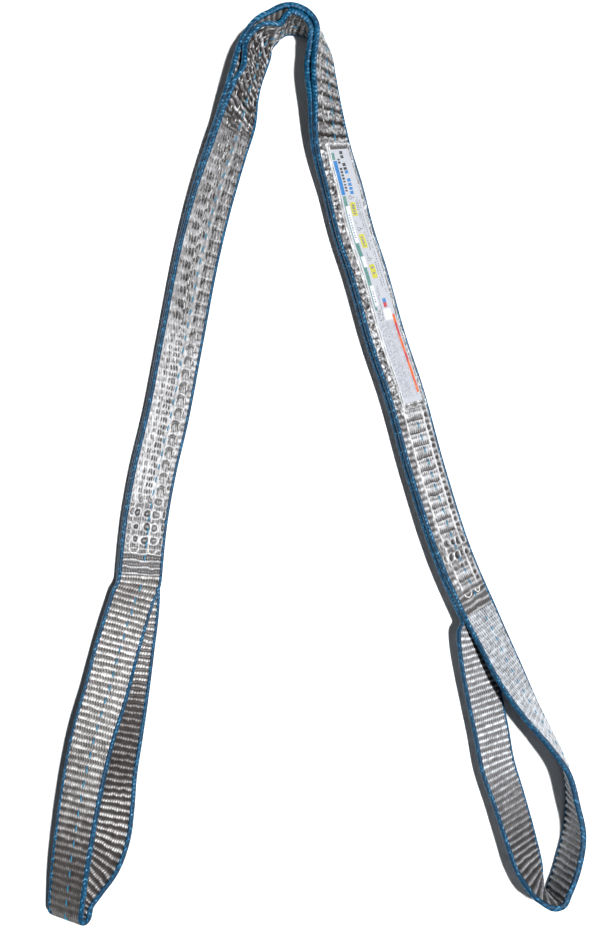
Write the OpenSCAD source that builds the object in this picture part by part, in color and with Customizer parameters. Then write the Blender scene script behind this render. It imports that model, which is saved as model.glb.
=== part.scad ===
// Two-ply flat web sling with an eye at each end, lying on a floor and bent over at its middle.
// It stands on edge at the crown, lies nearly flat along both legs, and its eyes are slightly open.
// Millimetres, +Z up, the floor at z = 0, the origin under the middle of the bounding box.

/* [Webbing] */
// Width of the webbing, edge to edge
web_w = 27; // [26:0.5:28]
// Thickness of one ply
ply_t = 4; // [3.5:0.25:4.25]
// Width of the coloured edge yarns along each side
edge_w = 2; // [1.5:0.25:3]
// Width of the coloured marker yarn along the middle
marker_w = 1.2; // [0.8:0.1:2]

/* [Stitching] */
// Distance from one stitch to the next in a row
stitch_pitch = 8; // [6:1:12]
// Length of the stitch that shows on the face
stitch_l = 5; // [3:0.5:5.5]
// Width of the sewing thread
thread_w = 0.9; // [0.6:0.1:1.2]

/* [Label] */
// Width of the printed tag
tag_w = 14.5; // [12:0.5:17]
// Length of the printed tag
tag_l = 165; // [140:5:170]
// Thickness of the tag
tag_t = 0.3; // [0.2:0.05:0.4]
// Thickness of each clear film of the sleeve
film_t = 0.3; // [0.2:0.05:0.4]
// Width of the welded hem on each side of the sleeve
hem_w = 2; // [1.5:0.25:2]

/* [Flexing places] */
// Half of the clear length left in the plies at the crown
crown_clear = 4.5; // [4:0.5:6]
// Clear length left in each ply at a throat, on both sides of the bend
throat_clear = 3.5; // [3.5:0.25:5]

/* [Hidden] */

// The middle of the bounding box, in the plan that the stations below are given in
middle = [2.8, 2.3];

// Stations along the sewn body, from the left throat over the crown to the right throat:
// [x, y, roll of the webbing about its own length in degrees, gap between the plies' upper edges]
body_stations = [
    [-109, -69, 10, 0], [-106, -37, 11, 0], [-101, -7, 12, 0], [-94, 24, 12, 0], [-85, 73, 12, 0],
    [-74, 132, 14, 0], [-67, 161, 20, 0], [-57, 195, 30, 0], [-52, 211, 32, 0],
    [-48.5, 228, 48, 0], [-46.5, 237, 52, 3], [-40, 256.5, 51, 0], [-36, 264.5, 64, 2], [-30, 270, 75, 6],
    [-25, 274, 80, 3], [-20, 276, 84, 0], [-11, 275, 92, 0], [-3, 269, 106, 0], [0, 259, 120, 0],
    [1, 245, 131, 1], [3.5, 226, 138, 0], [8, 199, 156, 0], [16, 172, 164, 0], [23, 145, 166, 0],
    [31, 121, 165, 0], [44, 76, 164, 0], [54, 47, 163, 0], [69, -6, 162, 0], [88, -63, 158, 0],
    [101, -92, 156, 0]
];
LEFT_SHOULDER = 7;
CROWN = 15;
RIGHT_SHOULDER = 21;

// Stations along each eye: [x, y, roll, height above where its lower edge would rest on the floor].
// The right eye's loop runs from the upper ply round to the lower ply.
right_eye_stations = [
    [110, -108, 152, 2], [122, -132, 146, 1], [135, -155, 130, 0], [147, -173, 116, 0],
    [158, -192, 107, 0], [162, -212, 100, 0], [163, -231, 88, 0], [159, -249, 83, 0],
    [153, -265, 85, 0], [149, -272, 85, 0], [145, -272, 80, 0], [140, -266, 60, 0],
    [134, -252, 36, 0], [128, -232, 28, 0], [122, -212, 25, 0], [115, -190, 20, 0],
    [111, -168, 18, 0], [107, -149, 18, 0], [103, -130, 20, 0], [100, -111, 23, 0]
];
RIGHT_TURN_START = 5;
RIGHT_TURN_END = 13;
// The left eye's upper ply runs out to a tight fold, and its lower ply comes back from there.
left_upper_stations = [
    [-115, -89, 170, 5], [-122, -113, 178, 8], [-128, -137, 190, 10], [-135, -161, 200, 11],
    [-141, -190, 210, 12], [-145, -216, 216, 12], [-148, -240, 220, 10], [-150, -262, 224, 5]
];
left_lower_stations = [
    [-144, -256, -43, 0], [-138, -247, -41, 0], [-130, -236, -38, 0], [-125, -222, -34, 0],
    [-123, -205, -30, 0], [-122, -187, -27, 0], [-119, -164, -22, 0], [-116, -140, -12, 0],
    [-113, -115, -2, 0], [-110, -88, 7, 0]
];
// Radius of the left eye's fold at the middle of the ply
fold_r = 3.5;

// Ring spacing along the straighter and the curlier stretches
LONG_STEP = 9;
SHORT_STEP = 6;
LABEL_STEP = 4;
// Rows of stitching across each leg, as shares of the half width
LEFT_ROWS = [-0.64, -0.24, 0.2, 0.61];
RIGHT_ROWS = [-0.46, 0.12, 0.56];
// The marker yarn runs this far off the middle of the web
MARKER_OFF = -1.5;
// The sleeve lies this far off the middle of the ply, towards the outer edge
LABEL_OFF = -2;
// Air on each face of the tag inside its sleeve
TAG_AIR = 0.12;
// A thread or a marker yarn sinks this far into the ply
SINK = 0.4;
PROUD = 0.3;

// ---- Routes: smooth curves through the stations ----
function plan(v) = norm([v.x, v.y]);
function lengths(st) =
    [for (i = 0, s = 0; i < len(st);
          s = s + (i + 1 < len(st) ? plan(st[i + 1] - st[i]) : 0), i = i + 1) s];
function inner_slope(st, s, i) =
    let (h0 = s[i] - s[i - 1], h1 = s[i + 1] - s[i])
    ((st[i] - st[i - 1]) * h1 / h0 + (st[i + 1] - st[i]) * h0 / h1) / (h0 + h1);
function slopes(st, s) =
    let (n = len(st) - 1)
    [for (i = [0 : n])
        i == 0 ? 1.5 * (st[1] - st[0]) / (s[1] - s[0]) - 0.5 * inner_slope(st, s, 1)
        : i == n ? 1.5 * (st[n] - st[n - 1]) / (s[n] - s[n - 1]) - 0.5 * inner_slope(st, s, n - 1)
        : inner_slope(st, s, i)];
// A route is [stations, length at each station, slope at each station]
function route(st) = let (s = lengths(st)) [st, s, slopes(st, s)];
function total(r) = r[1][len(r[1]) - 1];
function segment(s, at, i = 0) = i >= len(s) - 2 || at < s[i + 1] ? i : segment(s, at, i + 1);

// ---- Frames: [middle of the web, direction across it towards edge A, normal of face 1, values] ----
function frame_of(value, way, thick) =
    let (t = [way.x, way.y] / plan(way), left = [-t.y, t.x, 0], roll = value[2])
    [[value.x - middle.x, value.y - middle.y,
      web_w / 2 * abs(sin(roll)) + thick / 2 * abs(cos(roll))],
     cos(roll) * left + [0, 0, sin(roll)],
     [0, 0, cos(roll)] - sin(roll) * left,
     value];
function value_at(r, at) =
    let (i = segment(r[1], at), d = r[1][i + 1] - r[1][i], u = (at - r[1][i]) / d)
    (2 * pow(u, 3) - 3 * u * u + 1) * r[0][i] + (pow(u, 3) - 2 * u * u + u) * d * r[2][i]
    + (3 * u * u - 2 * pow(u, 3)) * r[0][i + 1] + (pow(u, 3) - u * u) * d * r[2][i + 1];
function way_at(r, at) = value_at(r, at + 0.05) - value_at(r, at - 0.05);
function body_frame(at) = frame_of(value_at(body, at), way_at(body, at), 2 * ply_t);
function eye_frame(r, at) =
    let (v = value_at(r, at), f = frame_of(v, way_at(r, at), ply_t))
    [f[0] + [0, 0, v[3]], f[1], f[2], v];
function spaced(a, b, step) = let (n = ceil((b - a) / step)) [for (i = [0 : n]) a + (b - a) * i / n];
function body_run(a, b, step) = [for (at = spaced(a, b, step)) body_frame(at)];
function eye_run(r, a, b, step) = [for (at = spaced(a, b, step)) eye_frame(r, at)];

body = route(body_stations);
body_l = total(body);
left_shoulder_at = body[1][LEFT_SHOULDER];
crown_at = body[1][CROWN];
right_shoulder_at = body[1][RIGHT_SHOULDER];

left_throat = body_frame(0);
right_throat = body_frame(body_l);
// Where a ply leaves a throat, as an eye station: side is 1 for face 1's ply and -1 for face 2's
function throat_station(f, side, roll, lift) =
    let (c = f[0] + side * ply_t / 2 * f[2]) [c.x + middle.x, c.y + middle.y, roll, lift];

right_loop = route(concat(
    [throat_station(right_throat, -1, right_throat[3][2], ply_t * abs(cos(right_throat[3][2])))],
    right_eye_stations,
    [throat_station(right_throat, 1, 180 - right_throat[3][2], 0)]));
right_turn_from = right_loop[1][RIGHT_TURN_START];
right_turn_to = right_loop[1][RIGHT_TURN_END];

left_upper = route(concat(
    [throat_station(left_throat, 1, 180 - left_throat[3][2], ply_t * cos(left_throat[3][2]))],
    left_upper_stations));
fold_from = eye_frame(left_upper, total(left_upper));
fold_out = -fold_from[2];
fold_way = cross(fold_from[1], fold_from[2]);
// The fold turns half round about its own width, so its frames keep one direction across
fold_frames = [for (a = [0 : 22.5 : 180])
    let (out = cos(a) * fold_out + sin(a) * fold_way)
    [fold_from[0] + fold_r * (out - fold_out), fold_from[1], -out]];
fold_to = fold_frames[len(fold_frames) - 1][0];
left_lower = route(concat(
    [[fold_to.x + middle.x, fold_to.y + middle.y, 180 - fold_from[3][2], 0]],
    left_lower_stations,
    [throat_station(left_throat, -1, left_throat[3][2], 0)]));

// ---- Solids ----
function corner(f, p) = f[0] + p.x * f[1] + p.y * f[2];
function side_faces(a, b, rising) = rising
    ? [[a[0], b[0], b[1]], [a[0], b[1], a[1]]]
    : [[a[0], b[0], a[1]], [b[0], b[1], a[1]]];
// Sweeps a convex section, its corners given anticlockwise as [across, out of face 1]
module strip(frames, section) {
    k = len(section);
    last = len(frames) - 1;
    mid = corner(frames[floor(last / 2)], [0, 0]);
    points = [for (f = frames, p = section) corner(f, p)];
    sides = [for (i = [0 : last - 1], j = [0 : k - 1])
        let (m = (j + 1) % k, p = section[j], q = section[m])
        each side_faces([i * k + j, i * k + m], [(i + 1) * k + j, (i + 1) * k + m],
                        p.x + 2 * p.y < q.x + 2 * q.y)];
    ends = [for (j = [1 : k - 2]) each [[0, j, j + 1], [last * k, last * k + j + 1, last * k + j]]];
    polyhedron(points, concat(sides, ends));
}
module block(f, size, at) {
    t = cross(f[1], f[2]);
    c = corner(f, at);
    multmatrix([[t.x, f[1].x, f[2].x, c.x], [t.y, f[1].y, f[2].y, c.y], [t.z, f[1].z, f[2].z, c.z],
                [0, 0, 0, 1]])
        cube(size, center = true);
}
function box_section(u0, u1, v0, v1) = [[u0, v0], [u1, v0], [u1, v1], [u0, v1]];
half_w = web_w / 2;
ground_w = half_w - edge_w;
// Leans the inner ply in, so that its upper edge stands off the outer ply and its lower edge doesn't
function leaning(f) =
    let (gap = max(0, f[3][3]), lean = asin(gap / web_w))
    [f[0] + gap / 2 * f[2], cos(lean) * f[1] + sin(lean) * f[2], cos(lean) * f[2] - sin(lean) * f[1], f[3]];
function spread(frames) = [for (f = frames) leaning(f)];

module ground(frames, v0, v1) {
    strip(frames, box_section(-ground_w, ground_w, v0, v1));
}
// The edge yarns have rounded outer corners
module edges(frames, v0, v1) {
    r = ply_t / 5;
    strip(frames, [[ground_w, v0], [half_w - r, v0], [half_w, v0 + r], [half_w, v1 - r],
                   [half_w - r, v1], [ground_w, v1]]);
    strip(frames, [[-ground_w, v0], [-ground_w, v1], [-half_w + r, v1], [-half_w, v1 - r],
                   [-half_w, v0 + r], [-half_w + r, v0]]);
}
module stitches(a, b, rows) {
    for (at = [a + stitch_pitch / 2 : stitch_pitch : b - stitch_pitch / 2], row = rows, side = [-1, 1])
        block(side > 0 ? leaning(body_frame(at)) : body_frame(at), [stitch_l, thread_w, SINK + PROUD],
              [row * half_w, side * (ply_t + (PROUD - SINK) / 2)]);
}
module markers(frames, sides) {
    for (v = sides)
        strip(frames, box_section(MARKER_OFF - marker_w / 2, MARKER_OFF + marker_w / 2,
                                  v - SINK, v + PROUD / 2));
}
module throat_rows(at, way) {
    // Two crosswise runs of stitches, which close the ends of the long rows
    for (back = [0, 6], side = [-1, 1])
        for (u = [-0.46, 0, 0.46])
            block(body_frame(at + way * back), [thread_w, 0.36 * half_w, SINK + PROUD],
                  [u * half_w, side * (ply_t + (PROUD - SINK) / 2)]);
}
// Where the last stitches stop short of each throat
STITCH_END = 14;

// ---- Left leg ----
left_leg = body_run(throat_clear, left_shoulder_at, LONG_STEP);
left_crown = body_run(left_shoulder_at, crown_at - crown_clear, SHORT_STEP);
module left_leg_upper_ply() { color("silver") ground(left_leg, 0, ply_t); }
module left_leg_lower_ply() { color("silver") ground(left_leg, -ply_t, 0); }
module left_leg_upper_edges() { color("steelblue") edges(left_leg, 0, ply_t); }
module left_leg_lower_edges() { color("steelblue") edges(left_leg, -ply_t, 0); }
module left_leg_markers() { color("teal") markers(left_leg, [ply_t, -ply_t + SINK - PROUD / 2]); }
module left_leg_stitch_rows() {
    color("gainsboro") stitches(STITCH_END + stitch_pitch, left_shoulder_at, LEFT_ROWS);
}
module left_throat_stitching() { color("gainsboro") throat_rows(STITCH_END, 1); }
module left_crown_outer_ply() { color("silver") ground(left_crown, -ply_t, 0); }
module left_crown_inner_ply() { color("silver") ground(spread(left_crown), 0, ply_t); }
module left_crown_edges() {
    color("steelblue") {
        edges(left_crown, -ply_t, 0);
        edges(spread(left_crown), 0, ply_t);
    }
}
module left_crown_stitch_rows() {
    color("gainsboro") stitches(left_shoulder_at, crown_at - crown_clear, LEFT_ROWS);
}

// ---- Right leg ----
right_crown = body_run(crown_at + crown_clear, right_shoulder_at, SHORT_STEP);
right_leg = body_run(right_shoulder_at, body_l - throat_clear, LONG_STEP);
module right_leg_upper_ply() { color("silver") ground(right_leg, -ply_t, 0); }
module right_leg_lower_ply() { color("silver") ground(right_leg, 0, ply_t); }
module right_leg_upper_edges() { color("steelblue") edges(right_leg, -ply_t, 0); }
module right_leg_lower_edges() { color("steelblue") edges(right_leg, 0, ply_t); }
module right_leg_markers() {
    color("teal") markers(right_leg_below_label, [-ply_t + SINK - PROUD / 2, ply_t]);
}
module right_leg_stitch_rows() {
    color("gainsboro") stitches(label_to, body_l - STITCH_END - stitch_pitch, RIGHT_ROWS);
}
module right_throat_stitching() { color("gainsboro") throat_rows(body_l - STITCH_END, -1); }
module right_crown_outer_ply() { color("silver") ground(right_crown, -ply_t, 0); }
module right_crown_inner_ply() { color("silver") ground(spread(right_crown), 0, ply_t); }
module right_crown_edges() {
    color("steelblue") {
        edges(right_crown, -ply_t, 0);
        edges(spread(right_crown), 0, ply_t);
    }
}
module right_crown_stitch_rows() {
    color("gainsboro") stitches(crown_at + crown_clear, right_shoulder_at, RIGHT_ROWS);
}

// ---- Label: a printed tag inside a clear sleeve, sewn on the right leg's outer face ----
label_from = right_shoulder_at;
label_end_hem = 4;
label_to = label_from + tag_l + 2 * label_end_hem;
right_leg_below_label = body_run(label_to + 2, body_l - throat_clear, LONG_STEP);
tag = body_run(label_from + label_end_hem, label_to - label_end_hem, LABEL_STEP);
sleeve = concat([body_frame(label_from)], tag, [body_frame(label_to)]);
sleeve_w = tag_w + 2 * hem_w + 1;
film_back = -ply_t - film_t;
tag_back = film_back - TAG_AIR;
film_front = tag_back - tag_t - TAG_AIR;
module label_sleeve_back() {
    color("aliceblue", 0.5)
        strip(sleeve, box_section(LABEL_OFF - sleeve_w / 2, LABEL_OFF + sleeve_w / 2, film_back, -ply_t));
}
module label_tag() {
    color("whitesmoke")
        strip(tag, box_section(LABEL_OFF - tag_w / 2, LABEL_OFF + tag_w / 2, tag_back - tag_t, tag_back));
}
module label_sleeve_front() {
    color("aliceblue", 0.5)
        strip(sleeve, box_section(LABEL_OFF - sleeve_w / 2, LABEL_OFF + sleeve_w / 2,
                                  film_front - film_t, film_front));
}
module label_sleeve_hems() {
    color("aliceblue", 0.5)
        for (u = [LABEL_OFF - sleeve_w / 2, LABEL_OFF + sleeve_w / 2 - hem_w])
            strip(sleeve, box_section(u, u + hem_w, film_front, film_back));
}
module label_stitching() {
    color("gainsboro")
        for (at = [label_from + stitch_pitch / 2 : stitch_pitch : label_to - stitch_pitch / 2],
             u = [-1, 1])
            block(body_frame(at), [stitch_l, thread_w, SINK + PROUD],
                  [LABEL_OFF + u * (sleeve_w - hem_w) / 2, film_front - film_t + (SINK - PROUD) / 2]);
}

// ---- Left eye ----
left_upper_run = eye_run(left_upper, throat_clear, total(left_upper), SHORT_STEP);
left_lower_run = eye_run(left_lower, 0, total(left_lower) - throat_clear, SHORT_STEP);
half_t = ply_t / 2;
module left_eye_upper_ply() { color("silver") ground(left_upper_run, -half_t, half_t); }
module left_eye_fold_ply() { color("silver") ground(fold_frames, -half_t, half_t); }
module left_eye_lower_ply() { color("silver") ground(left_lower_run, -half_t, half_t); }
module left_eye_upper_edges() { color("steelblue") edges(left_upper_run, -half_t, half_t); }
module left_eye_fold_edges() { color("steelblue") edges(fold_frames, -half_t, half_t); }
module left_eye_lower_edges() { color("steelblue") edges(left_lower_run, -half_t, half_t); }
module left_eye_marker() { color("teal") markers(left_upper_run, [-half_t + SINK - PROUD / 2]); }

// ---- Right eye ----
right_upper_run = eye_run(right_loop, throat_clear, right_turn_from, SHORT_STEP);
right_turn_run = eye_run(right_loop, right_turn_from, right_turn_to, SHORT_STEP);
right_lower_run = eye_run(right_loop, right_turn_to, total(right_loop) - throat_clear, SHORT_STEP);
module right_eye_upper_ply() { color("silver") ground(right_upper_run, -half_t, half_t); }
module right_eye_turn_ply() { color("silver") ground(right_turn_run, -half_t, half_t); }
module right_eye_lower_ply() { color("silver") ground(right_lower_run, -half_t, half_t); }
module right_eye_upper_edges() { color("steelblue") edges(right_upper_run, -half_t, half_t); }
module right_eye_turn_edges() { color("steelblue") edges(right_turn_run, -half_t, half_t); }
module right_eye_lower_edges() { color("steelblue") edges(right_lower_run, -half_t, half_t); }
module right_eye_marker() { color("teal") markers(right_upper_run, [-half_t + SINK - PROUD / 2]); }

left_leg_upper_ply();
left_leg_lower_ply();
left_leg_upper_edges();
left_leg_lower_edges();
left_leg_markers();
left_leg_stitch_rows();
left_throat_stitching();
left_crown_outer_ply();
left_crown_inner_ply();
left_crown_edges();
left_crown_stitch_rows();
right_leg_upper_ply();
right_leg_lower_ply();
right_leg_upper_edges();
right_leg_lower_edges();
right_leg_markers();
right_leg_stitch_rows();
right_throat_stitching();
right_crown_outer_ply();
right_crown_inner_ply();
right_crown_edges();
right_crown_stitch_rows();
label_tag();
label_sleeve_back();
label_sleeve_front();
label_sleeve_hems();
label_stitching();
left_eye_upper_ply();
left_eye_fold_ply();
left_eye_lower_ply();
left_eye_upper_edges();
left_eye_fold_edges();
left_eye_lower_edges();
left_eye_marker();
right_eye_upper_ply();
right_eye_turn_ply();
right_eye_lower_ply();
right_eye_upper_edges();
right_eye_turn_edges();
right_eye_lower_edges();
right_eye_marker();
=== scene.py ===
"""The looks of a two-ply flat web sling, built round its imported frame.

Lengths are in millimetres in the frame's own axes, and become metres in each mesh. A place on the
webbing is (u, s): u across it from its middle, and s along the weave. A pattern gives the height and
the tone there, both from 0 to 1.
"""

import bpy
import numpy as np
from mathutils import Matrix, Vector


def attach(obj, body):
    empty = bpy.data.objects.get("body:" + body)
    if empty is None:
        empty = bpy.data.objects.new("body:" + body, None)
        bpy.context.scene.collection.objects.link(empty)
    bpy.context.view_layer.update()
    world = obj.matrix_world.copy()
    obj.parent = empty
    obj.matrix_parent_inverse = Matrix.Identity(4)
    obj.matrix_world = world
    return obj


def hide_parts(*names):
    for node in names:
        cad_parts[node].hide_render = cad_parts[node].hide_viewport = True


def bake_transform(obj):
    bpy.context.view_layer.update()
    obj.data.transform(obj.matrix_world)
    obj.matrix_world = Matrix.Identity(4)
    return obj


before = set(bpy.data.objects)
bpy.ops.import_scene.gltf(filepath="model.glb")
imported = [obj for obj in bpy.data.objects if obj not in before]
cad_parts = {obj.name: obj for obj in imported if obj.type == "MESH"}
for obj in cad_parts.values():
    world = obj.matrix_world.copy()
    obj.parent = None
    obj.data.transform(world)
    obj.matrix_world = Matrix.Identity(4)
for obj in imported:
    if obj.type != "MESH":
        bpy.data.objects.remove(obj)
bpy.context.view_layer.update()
MM = 0.001


def unit(x):
    """Vectors of the same direction and length 1."""
    return x / np.linalg.norm(x, axis=-1, keepdims=True)


# ---------------------------------------------------------------- camera
# The lens hangs over the sling, a little to its left and towards its eyes, and looks at its middle
AIM = np.array([-14.5, -9.7, 10.0])
LENS_AWAY = 680
LENS_LEFT, LENS_NEAR = np.radians(10), np.radians(3)
toward = unit(np.array([-np.tan(LENS_LEFT), -np.tan(LENS_NEAR), 1.0]))
camera_data = bpy.data.cameras.new("camera")
camera_data.lens = 42.03
camera_data.sensor_width = 36
camera_data.clip_start = 0.01
camera_data.clip_end = 20
camera = bpy.data.objects.new("camera", camera_data)
bpy.context.scene.collection.objects.link(camera)
side = unit(np.cross(-toward, [0, 1, 0]))
up = np.cross(side, -toward)
turn = Matrix([[side[i], up[i], toward[i]] for i in range(3)]).to_4x4()
camera.matrix_world = Matrix.Translation(Vector((AIM + LENS_AWAY * toward) * MM)) @ turn
bpy.context.scene.camera = camera

# ---------------------------------------------------------------- routes
WEB_W = 27.0
PLY_T = 4.0
EDGE_W = 2.1
# The silver ground reaches this far from the middle, and the blue edge yarns lie outside it
GROUND = WEB_W / 2 - EDGE_W
FOLD_R = 3.5
# The place among the stations that lies on the frame's origin
MIDDLE = np.array([2.8, 2.3])

# [x, y, roll of the webbing about its own length, gap between the plies' upper edges]
BODY = [
    [-109, -69, 10, 0], [-106, -37, 11, 0], [-101, -7, 12, 0], [-94, 24, 12, 0], [-85, 73, 12, 0],
    [-74, 132, 14, 0], [-67, 161, 20, 0], [-57, 195, 30, 0], [-52, 211, 32, 0],
    [-48.5, 228, 48, 0], [-46.5, 237, 52, 3], [-40, 256.5, 51, 0], [-36, 264.5, 64, 2], [-30, 270, 75, 6],
    [-25, 274, 80, 3], [-20, 276, 84, 0], [-11, 275, 92, 0], [-3, 269, 106, 0], [0, 259, 120, 0],
    [1, 245, 131, 1], [3.5, 226, 138, 0], [8, 199, 156, 0], [16, 172, 164, 0], [23, 145, 166, 0],
    [31, 121, 165, 0], [44, 76, 164, 0], [54, 47, 163, 0], [69, -6, 162, 0], [88, -63, 158, 0],
    [101, -92, 156, 0]]
# Which of the body's stations these are
LEFT_SHOULDER, CROWN, RIGHT_SHOULDER = 7, 15, 21
# [x, y, roll, height above where its lower edge would rest on the floor]
RIGHT_EYE = [
    [110, -108, 152, 2], [122, -132, 146, 1], [135, -155, 130, 0], [147, -173, 116, 0],
    [158, -192, 107, 0], [162, -212, 100, 0], [163, -231, 88, 0], [159, -249, 83, 0],
    [153, -265, 85, 0], [149, -272, 85, 0], [145, -272, 80, 0], [140, -266, 60, 0],
    [134, -252, 36, 0], [128, -232, 28, 0], [122, -212, 25, 0], [115, -190, 20, 0],
    [111, -168, 18, 0], [107, -149, 18, 0], [103, -130, 20, 0], [100, -111, 23, 0]]
LEFT_UPPER = [
    [-115, -89, 170, 5], [-122, -113, 178, 8], [-128, -137, 190, 10], [-135, -161, 200, 11],
    [-141, -190, 210, 12], [-145, -216, 216, 12], [-148, -240, 220, 10], [-150, -262, 224, 5]]
LEFT_LOWER = [
    [-144, -256, -43, 0], [-138, -247, -41, 0], [-130, -236, -38, 0], [-125, -222, -34, 0],
    [-123, -205, -30, 0], [-122, -187, -27, 0], [-119, -164, -22, 0], [-116, -140, -12, 0],
    [-113, -115, -2, 0], [-110, -88, 7, 0]]


def smooth(low, high, x):
    """0 below low and 1 above high, with a smooth rise between."""
    t = np.clip((np.asarray(x, float) - low) / (high - low), 0, 1)
    return t * t * (3 - 2 * t)


class Route:
    """A smooth curve through stations, with the same formulas as the frame's own parts."""

    def __init__(self, stations):
        self.st = st = np.array(stations, float)
        steps = np.linalg.norm(np.diff(st[:, :2], axis=0), axis=1)
        self.s = s = np.concatenate([[0], np.cumsum(steps)])
        chord = np.diff(st, axis=0) / steps[:, None]
        inner = ((chord[:-1] * steps[1:, None] + chord[1:] * steps[:-1, None])
                 / (steps[:-1] + steps[1:])[:, None])
        first = 1.5 * chord[0] - 0.5 * inner[0]
        last = 1.5 * chord[-1] - 0.5 * inner[-1]
        self.slope = np.vstack([first, inner, last])
        self.length = float(s[-1])

    def value(self, at):
        """The stations' values, eased between stations, at lengths along the route."""
        at = np.asarray(at, float)
        i = np.clip(np.searchsorted(self.s, at, side="right") - 1, 0, len(self.s) - 2)
        d = self.s[i + 1] - self.s[i]
        u = ((at - self.s[i]) / d)[..., None]
        d = d[..., None]
        return ((2 * u**3 - 3 * u**2 + 1) * self.st[i] + (u**3 - 2 * u**2 + u) * d * self.slope[i]
                + (3 * u**2 - 2 * u**3) * self.st[i + 1] + (u**3 - u**2) * d * self.slope[i + 1])

    def frames(self, at, thick, lifted):
        """Middle of the web, direction across it, normal of face 1 and the fourth value."""
        v = self.value(at)
        way = (self.value(np.asarray(at) + 0.05) - self.value(np.asarray(at) - 0.05))[..., :2]
        return web_frame(v, unit(way), thick, lifted)


def web_frame(v, way, thick, lifted):
    """Middle, across and face 1's normal of a web that rolls about its way and rests on the floor."""
    roll = np.radians(v[..., 2])
    left = np.stack([-way[..., 1], way[..., 0], 0 * roll], -1)
    rise = np.stack([0 * roll, 0 * roll, 1 + 0 * roll], -1)
    cos, sin = np.cos(roll)[..., None], np.sin(roll)[..., None]
    z = WEB_W / 2 * abs(np.sin(roll)) + thick / 2 * abs(np.cos(roll))
    if lifted:
        z = z + v[..., 3]
    c = np.stack([v[..., 0] - MIDDLE[0], v[..., 1] - MIDDLE[1], z], -1)
    return c, cos * left + sin * rise, cos * rise - sin * left, v[..., 3]


body = Route(BODY)
BODY_L = body.length
CROWN_AT = float(body.s[CROWN])
LEFT_SHOULDER_AT = float(body.s[LEFT_SHOULDER])
RIGHT_SHOULDER_AT = float(body.s[RIGHT_SHOULDER])


def body_frames(at):
    """The two plies together, at lengths from the left throat."""
    return body.frames(at, 2 * PLY_T, False)


def leaning(frames):
    """The inner ply leans in, so that its upper edge stands off the outer ply by the gap."""
    c, e, n, gap = frames
    gap = np.clip(gap, 0, None)[:, None]
    sin = gap / WEB_W
    cos = np.sqrt(1 - sin**2)
    return c + gap / 2 * n, cos * e + sin * n, cos * n - sin * e


def throat_station(at, face, roll, lift):
    """The station where an eye's ply leaves or joins one face of the body."""
    c, _, n, _ = body_frames(np.array([at]))
    p = c[0] + face * PLY_T / 2 * n[0]
    return [p[0] + MIDDLE[0], p[1] + MIDDLE[1], roll, lift]


left_roll, right_roll = BODY[0][2], BODY[-1][2]
right_loop = Route(
    [throat_station(BODY_L, -1, right_roll, PLY_T * abs(np.cos(np.radians(right_roll))))]
    + RIGHT_EYE + [throat_station(BODY_L, 1, 180 - right_roll, 0)])
left_upper = Route(
    [throat_station(0, 1, 180 - left_roll, PLY_T * np.cos(np.radians(left_roll)))] + LEFT_UPPER)
c_end, e_end, n_end, _ = (x[0] for x in left_upper.frames(np.array([left_upper.length]), PLY_T, True))
FOLD_L = np.pi * FOLD_R


def fold_frames(at):
    """The half turn that joins the left eye's two plies. at runs from 0 to FOLD_L."""
    angle = np.asarray(at) / FOLD_R
    out = np.cos(angle)[:, None] * -n_end + np.sin(angle)[:, None] * np.cross(e_end, n_end)
    return c_end + FOLD_R * (out + n_end), np.tile(e_end, (len(angle), 1)), -out


fold_to = fold_frames(np.array([FOLD_L]))[0][0]
left_lower = Route(
    [[fold_to[0] + MIDDLE[0], fold_to[1] + MIDDLE[1], 180 - LEFT_UPPER[-1][2], 0]]
    + LEFT_LOWER + [throat_station(0, -1, left_roll, 0)])
LEFT_EYE_L = left_upper.length + FOLD_L + left_lower.length
RIGHT_EYE_L = right_loop.length


def left_eye_frames(at):
    """Upper ply, fold and lower ply one after another, at lengths from the throat."""
    at = np.asarray(at, float)
    a = at < left_upper.length
    b = (~a) & (at < left_upper.length + FOLD_L)
    d = ~(a | b)
    c, e, n = (np.zeros((len(at), 3)) for _ in range(3))
    if a.any():
        c[a], e[a], n[a] = left_upper.frames(at[a], PLY_T, True)[:3]
    if b.any():
        c[b], e[b], n[b] = fold_frames(at[b] - left_upper.length)
    if d.any():
        rest = at[d] - left_upper.length - FOLD_L
        c[d], e[d], n[d] = left_lower.frames(rest, PLY_T, True)[:3]
    return c, e, n


def right_eye_frames(at):
    """The whole loop, at lengths from the throat along the upper ply."""
    return right_loop.frames(np.asarray(at, float), PLY_T, True)[:3]


# ---------------------------------------------------------------- meshes
RANDOM = np.random.default_rng(7).random(4096)
# Nothing lies lower than this
ON_FLOOR = 0.02
# Every mesh that is made here, by its name here
made = {}


def noise_of(i):
    """A steady random number from 0 to 1 for each whole number."""
    return RANDOM[np.asarray(i, int) % len(RANDOM)]


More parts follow.
